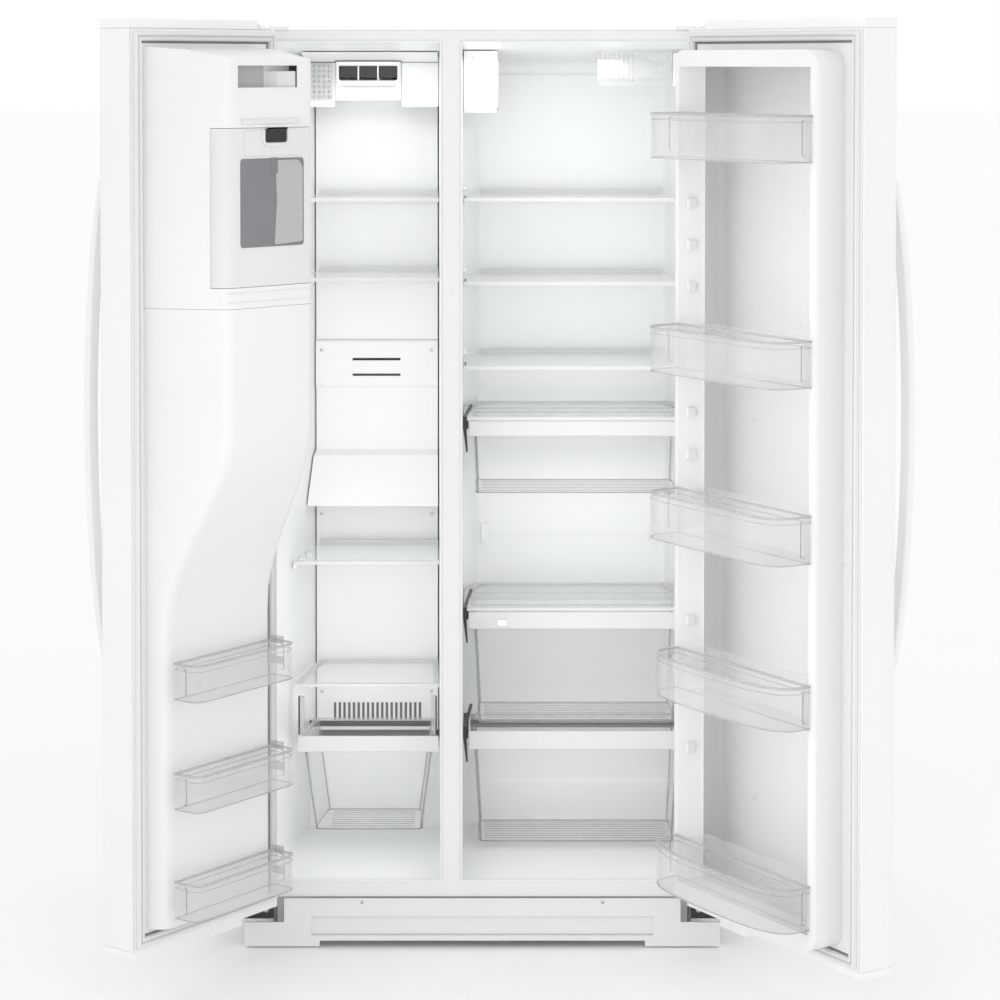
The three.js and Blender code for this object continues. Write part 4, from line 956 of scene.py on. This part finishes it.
def refine_doors():
    """Door pieces that keep their CAD shape, and the gaskets."""
    parts = {
        "freezer_door_shell": (PAINT, 0.7),
        "fresh_food_door_shell": (PAINT, 0.7),
        "freezer_door_liner": (DOOR_LINER, 0.9),
        "fresh_food_door_liner": (DOOR_LINER, 0.9),
        "freezer_door_handle": (PAINT, 1.2),
        "fresh_food_door_handle": (PAINT, 1.2),
        "freezer_door_top_cap": (WHITE_PLASTIC, 1.2),
        "fresh_food_door_top_cap": (WHITE_PLASTIC, 1.2),
        "freezer_door_bottom_cap": (WHITE_PLASTIC, 1.2),
        "fresh_food_door_bottom_cap": (WHITE_PLASTIC, 1.2),
        "ice_housing": (DOOR_LINER, 0.9),
        "ice_bin": (ICE_PLASTIC, 0.9),
        "dispenser_well": (GREY_PLASTIC, 1.0),
        "dispenser_paddle": (BLACK_PLASTIC, 1.0),
    }
    for node, (material, bevel) in parts.items():
        refine(node, material, bevel)
    build_gasket("freezer_door_gasket", "freezer_door", FREEZER_DOOR, -445, SPLIT["freezer"] - 8)
    build_gasket("fresh_food_door_gasket", "fresh_food_door", FRESH_DOOR, SPLIT["fresh"] + 8, 445)


# ---------------------------------------------------------------- the ice maker's front

FRONT_FREE = Vector((-162.7, 128.0, 0))
FRONT_HINGE = Vector((-361.2, 159.0, 0))
ALONG = (FRONT_HINGE - FRONT_FREE).normalized()
OUTWARD = Vector((-ALONG.y, ALONG.x, 0)) * -1


def front_matrix():
    """Frame of the ice maker's slanted front: X along it from its free edge, Y out of it, Z up."""
    basis = Matrix((ALONG, OUTWARD, Vector((0, 0, 1)))).transposed().to_4x4()
    return FREEZER_DOOR @ Matrix.Translation(FRONT_FREE) @ basis


def build_ice_front():
    """Window with a painted highlight, notch, lip, raised panel, and a recess in painted shade, on the slanted
    front of the ice maker.
    """
    front = front_matrix()
    bm = bmesh.new()
    pane = eased(rectangle(27, 1359, 175, 1517), 7)
    add_prism(bm, pane, -1.6, 0.4, "XZ")
    finish(bm, "ice_window_pane", "freezer_door", SMOKED, front, 0.4)
    # Painted highlight: a lighter patch over the right part of the pane.
    bm = bmesh.new()
    light = eased([(172, 1366), (106, 1362), (112, 1440), (108, 1513), (162, 1513), (172, 1500)], 4)
    add_prism(bm, light, 0.2, 0.9, "XZ")
    finish(bm, "ice_window_painted_highlight", "freezer_door", SMOKED_HIGHLIGHT, front)
    bm = bmesh.new()
    add_prism(bm, eased(rectangle(98, 1487, 114, 1518), [7, 7, 0, 0]), 0.2, 1.1, "XZ")
    finish(bm, "ice_window_slot", "freezer_door", SEAM_AND_SHADOW_GREY, front)
    bm = bmesh.new()
    add_band(bm, eased(rectangle(25, 1357, 177, 1519), 9), pane, -0.8, 0.9, "XZ")
    finish(bm, "ice_window_bead", "freezer_door", ICE_PLASTIC, front, 0.4)
    bm = bmesh.new()
    add_prism(bm, eased(rectangle(36, 1522, 166, 1567), 4), -1, 2.2, "XZ")
    finish(bm, "ice_bin_raised_panel", "freezer_door", ICE_PLASTIC, front, 0.8)
    bm = bmesh.new()
    surround = [(76, 1568), (76, 1546), (84, 1538), (132, 1538), (140, 1546), (140, 1568),
                (134, 1568), (134, 1548), (130, 1544), (86, 1544), (82, 1548), (82, 1568)]
    add_prism(bm, surround, 0, 5, "XZ")
    finish(bm, "ice_bin_notch_surround", "freezer_door", ICE_PLASTIC, front, 0.9)
    bm = bmesh.new()
    add_prism(bm, eased(rectangle(83, 1545, 133, 1569), [5, 5, 0, 0]), 2.0, 2.9, "XZ")
    finish(bm, "ice_bin_notch_shadow", "freezer_door", BLACK_PLASTIC, front)
    bm = bmesh.new()
    add_prism(bm, [(0, 1577), (3.5, 1579), (4, 1586), (0, 1589)], 30, 165, "YZ")
    finish(bm, "ice_housing_lip", "freezer_door", ICE_PLASTIC, front, 0.6)
    bm = bmesh.new()
    low, high = 1641, 1684
    add_box(bm, (18, -26, low), (162, -24, high))
    add_box(bm, (18, -25, low - 2), (162, -3.5, low))
    add_box(bm, (18, -25, high), (162, -3.5, high + 2))
    finish(bm, "ice_recess", "freezer_door", SHADE_PLASTIC, front, 0.4)
    bm = bmesh.new()
    add_prism(bm, [(160, -24), (104, -24), (120, -8), (160, -4)], low + 0.5, high - 12)
    finish(bm, "ice_recess_block", "freezer_door", SHADE_PLASTIC, front, 0.8)
    bm = bmesh.new()
    add_prism(bm, [(102, -24), (19, -24), (19, -22)], low + 0.5, high - 0.5)
    finish(bm, "ice_recess_shadow", "freezer_door", GREY_PLASTIC, front)
    bm = bmesh.new()
    add_box(bm, (-1, -0.6, 1279), (200, 0.9, 1280.4))
    add_box(bm, (-1, -0.6, 1262), (200, 0.9, 1263.4))
    finish(bm, "ice_housing_lines", "freezer_door", ICE_PLASTIC, front, 0.3)


# ---------------------------------------------------------------- dispenser on the outer face


def build_dispenser():
    """Control panel, outlet nozzles, ice chute and drip grid of the dispenser."""
    door = "freezer_door"
    bm = bmesh.new()
    add_prism(bm, eased(rectangle(-326, 1248, -174, 1302), 6), DOOR_OUTER - 3.4, DOOR_OUTER - 2, "XZ")
    finish(bm, "dispenser_panel", door, BLACK_PLASTIC, FREEZER_DOOR, 0.4)
    bm = bmesh.new()
    for i in range(5):
        x = -310 + i * 30
        add_prism(bm, eased(rectangle(x - 9, 1258, x + 9, 1268), 3), DOOR_OUTER - 4.2, DOOR_OUTER - 3, "XZ")
    finish(bm, "dispenser_buttons", door, GREY_PLASTIC, FREEZER_DOOR, 0.4)
    bm = bmesh.new()
    add_lathe(bm, [(26, 0), (26, 10), (20, 26), (18, 26), (22, 8)], (-250, -45, 1238), (0, 0, -1), 24)
    finish(bm, "ice_chute", door, BLACK_PLASTIC, FREEZER_DOOR, 0.5)
    bm = bmesh.new()
    add_lathe(bm, [(6, 0), (6, 14), (4, 22), (2.5, 22)], (-250, -78, 1238), (0, 0, -1), 14)
    finish(bm, "water_nozzle", door, GREY_PLASTIC, FREEZER_DOOR)
    bm = bmesh.new()
    for i in range(13):
        x = -322 + i * 12
        add_box(bm, (x, -88, 967), (x + 4, -18, 970))
    add_band(bm, rectangle(-326.5, -91, -173.5, -15), rectangle(-322, -88, -178, -18), 966.6, 970.4)
    finish(bm, "drip_grid", door, GREY_PLASTIC, FREEZER_DOOR, 0.4)


# ---------------------------------------------------------------- bins


def bin_outline(plan, inset=0.0, steps=12):
    """Plan outline of a door bin: straight sides and back, bowed front."""
    x0, x1, back, end, front, run = plan
    left, right, face = x0 + inset, x1 - inset, front - inset
    points = [(left, back + inset), (right, back + inset)]
    curves = [
        [(right, end - inset), (right, face - 5), (right - run * 0.4, face), (right - run, face)],
        [(left + run, face), (left + run * 0.4, face), (left, face - 5), (left, end - inset)],
    ]
    for a, b, c, d in [[Vector(p) for p in curve] for curve in curves]:
        for step in range(steps + 1):
            t = step / steps
            point = a * (1 - t) ** 3 + b * 3 * t * (1 - t) ** 2 + c * 3 * t * t * (1 - t) + d * t**3
            points.append(tuple(point))
    return points


def build_bin_edges(node, body, place, plan, top, height):
    """Rim, waist line, foot and end slots of a clear bin, which show as its outline."""
    bm = bmesh.new()
    add_band(bm, bin_outline(plan, -1.2), bin_outline(plan, 2.8), top - 3.2, top + 0.8)
    add_band(bm, bin_outline(plan, -0.6), bin_outline(plan, 1.2), top - 12.4, top - 11.4)
    add_band(bm, bin_outline(plan, -0.5), bin_outline(plan, 2.6), top - height - 0.5, top - height + 1.8)
    finish(bm, node + "_edges", body, CLEAR_EDGE, place, 0.4)
    bm = bmesh.new()
    x0, x1, _, end = plan[:4]
    for x in (x0 + 0.6, x1 - 0.6):
        path = [(x, end - 16, top - 8), (x, end - 10, top - 8), (x, end - 10, top - height + 12)]
        add_tube(bm, path + [(x, end - 16, top - height + 12)], 0.9, 6)
    finish(bm, node + "_slots", body, TUB_EDGE, place)


# Bin plans: left, right, back, end of the straight sides, bowed front, run of each front corner
FREEZER_BIN = (-379, -114, 40, 78, 97, 26)
FREEZER_BIN_TOPS = (622, 425, 230)
FRESH_STRAIGHT = (2, 394, 3, 84, 137, 70)
FRESH_BOWED = (2, 394, 3, 78, 134, 195)
# Top, height and plan of each fresh food bin
FRESH_BINS = (
    (1596, 82, FRESH_STRAIGHT),
    (1206, 82, FRESH_STRAIGHT),
    (902, 84, FRESH_STRAIGHT),
    (605, 76, FRESH_BOWED),
    (254, 78, FRESH_BOWED),
)


def build_bins():
    """Clear bins of both doors with their edges, and the clips of the freezer door's bins."""
    for i, top in enumerate(FREEZER_BIN_TOPS):
        node = f"freezer_door_bin_{i + 1}"
        refine(node, CLEAR, 0.5)
        build_bin_edges(node, "freezer_door", FREEZER_DOOR, FREEZER_BIN, top, 66)
    for i, (top, height, plan) in enumerate(FRESH_BINS):
        node = f"fresh_food_door_bin_{i + 1}"
        refine(node, CLEAR, 0.5)
        dropped = (plan[0], plan[1], 53.5, plan[3], plan[4], plan[5])
        build_bin_edges(node, "fresh_food_door", FRESH_DOOR, dropped, top, height)
    bm = bmesh.new()
    for top in FREEZER_BIN_TOPS:
        for z in (top - 8, top - 46):
            add_prism(bm, eased(rectangle(-386, z, -379.6, z + 14), 2), 34, 62, "XZ")
    finish(bm, "freezer_bin_clips", "freezer_door", CLEAR_EDGE, FREEZER_DOOR, 0.8)


def build_dyke_bosses():
    """Bosses on the fresh food door's dykes, which a bin hooks over at another height."""
    bm = bmesh.new()
    for z in (1428, 1351, 1274, 1041, 963, 654, 417):
        boss = eased(rectangle(24, z - 9, 42, z + 9), 3)
        add_prism(bm, boss, 376, 384, "YZ")
        add_prism(bm, boss, 9, 18, "YZ")
    finish(bm, "fresh_food_door_bosses", "fresh_food_door", DOOR_LINER, FRESH_DOOR, 1.5)


refine_cabinet()
build_freezer_shelves()
build_fresh_shelves()
build_covers()
build_drawers()
build_slides()
build_ceiling_fittings()
build_duct_details()
build_freezer_panel_details()
build_fresh_wall_details()
build_grille_details()
build_top_details()
build_rear_details()
refine_doors()
build_ice_front()
build_dispenser()
build_bins()
build_dyke_bosses()
place_camera()
build_studio()
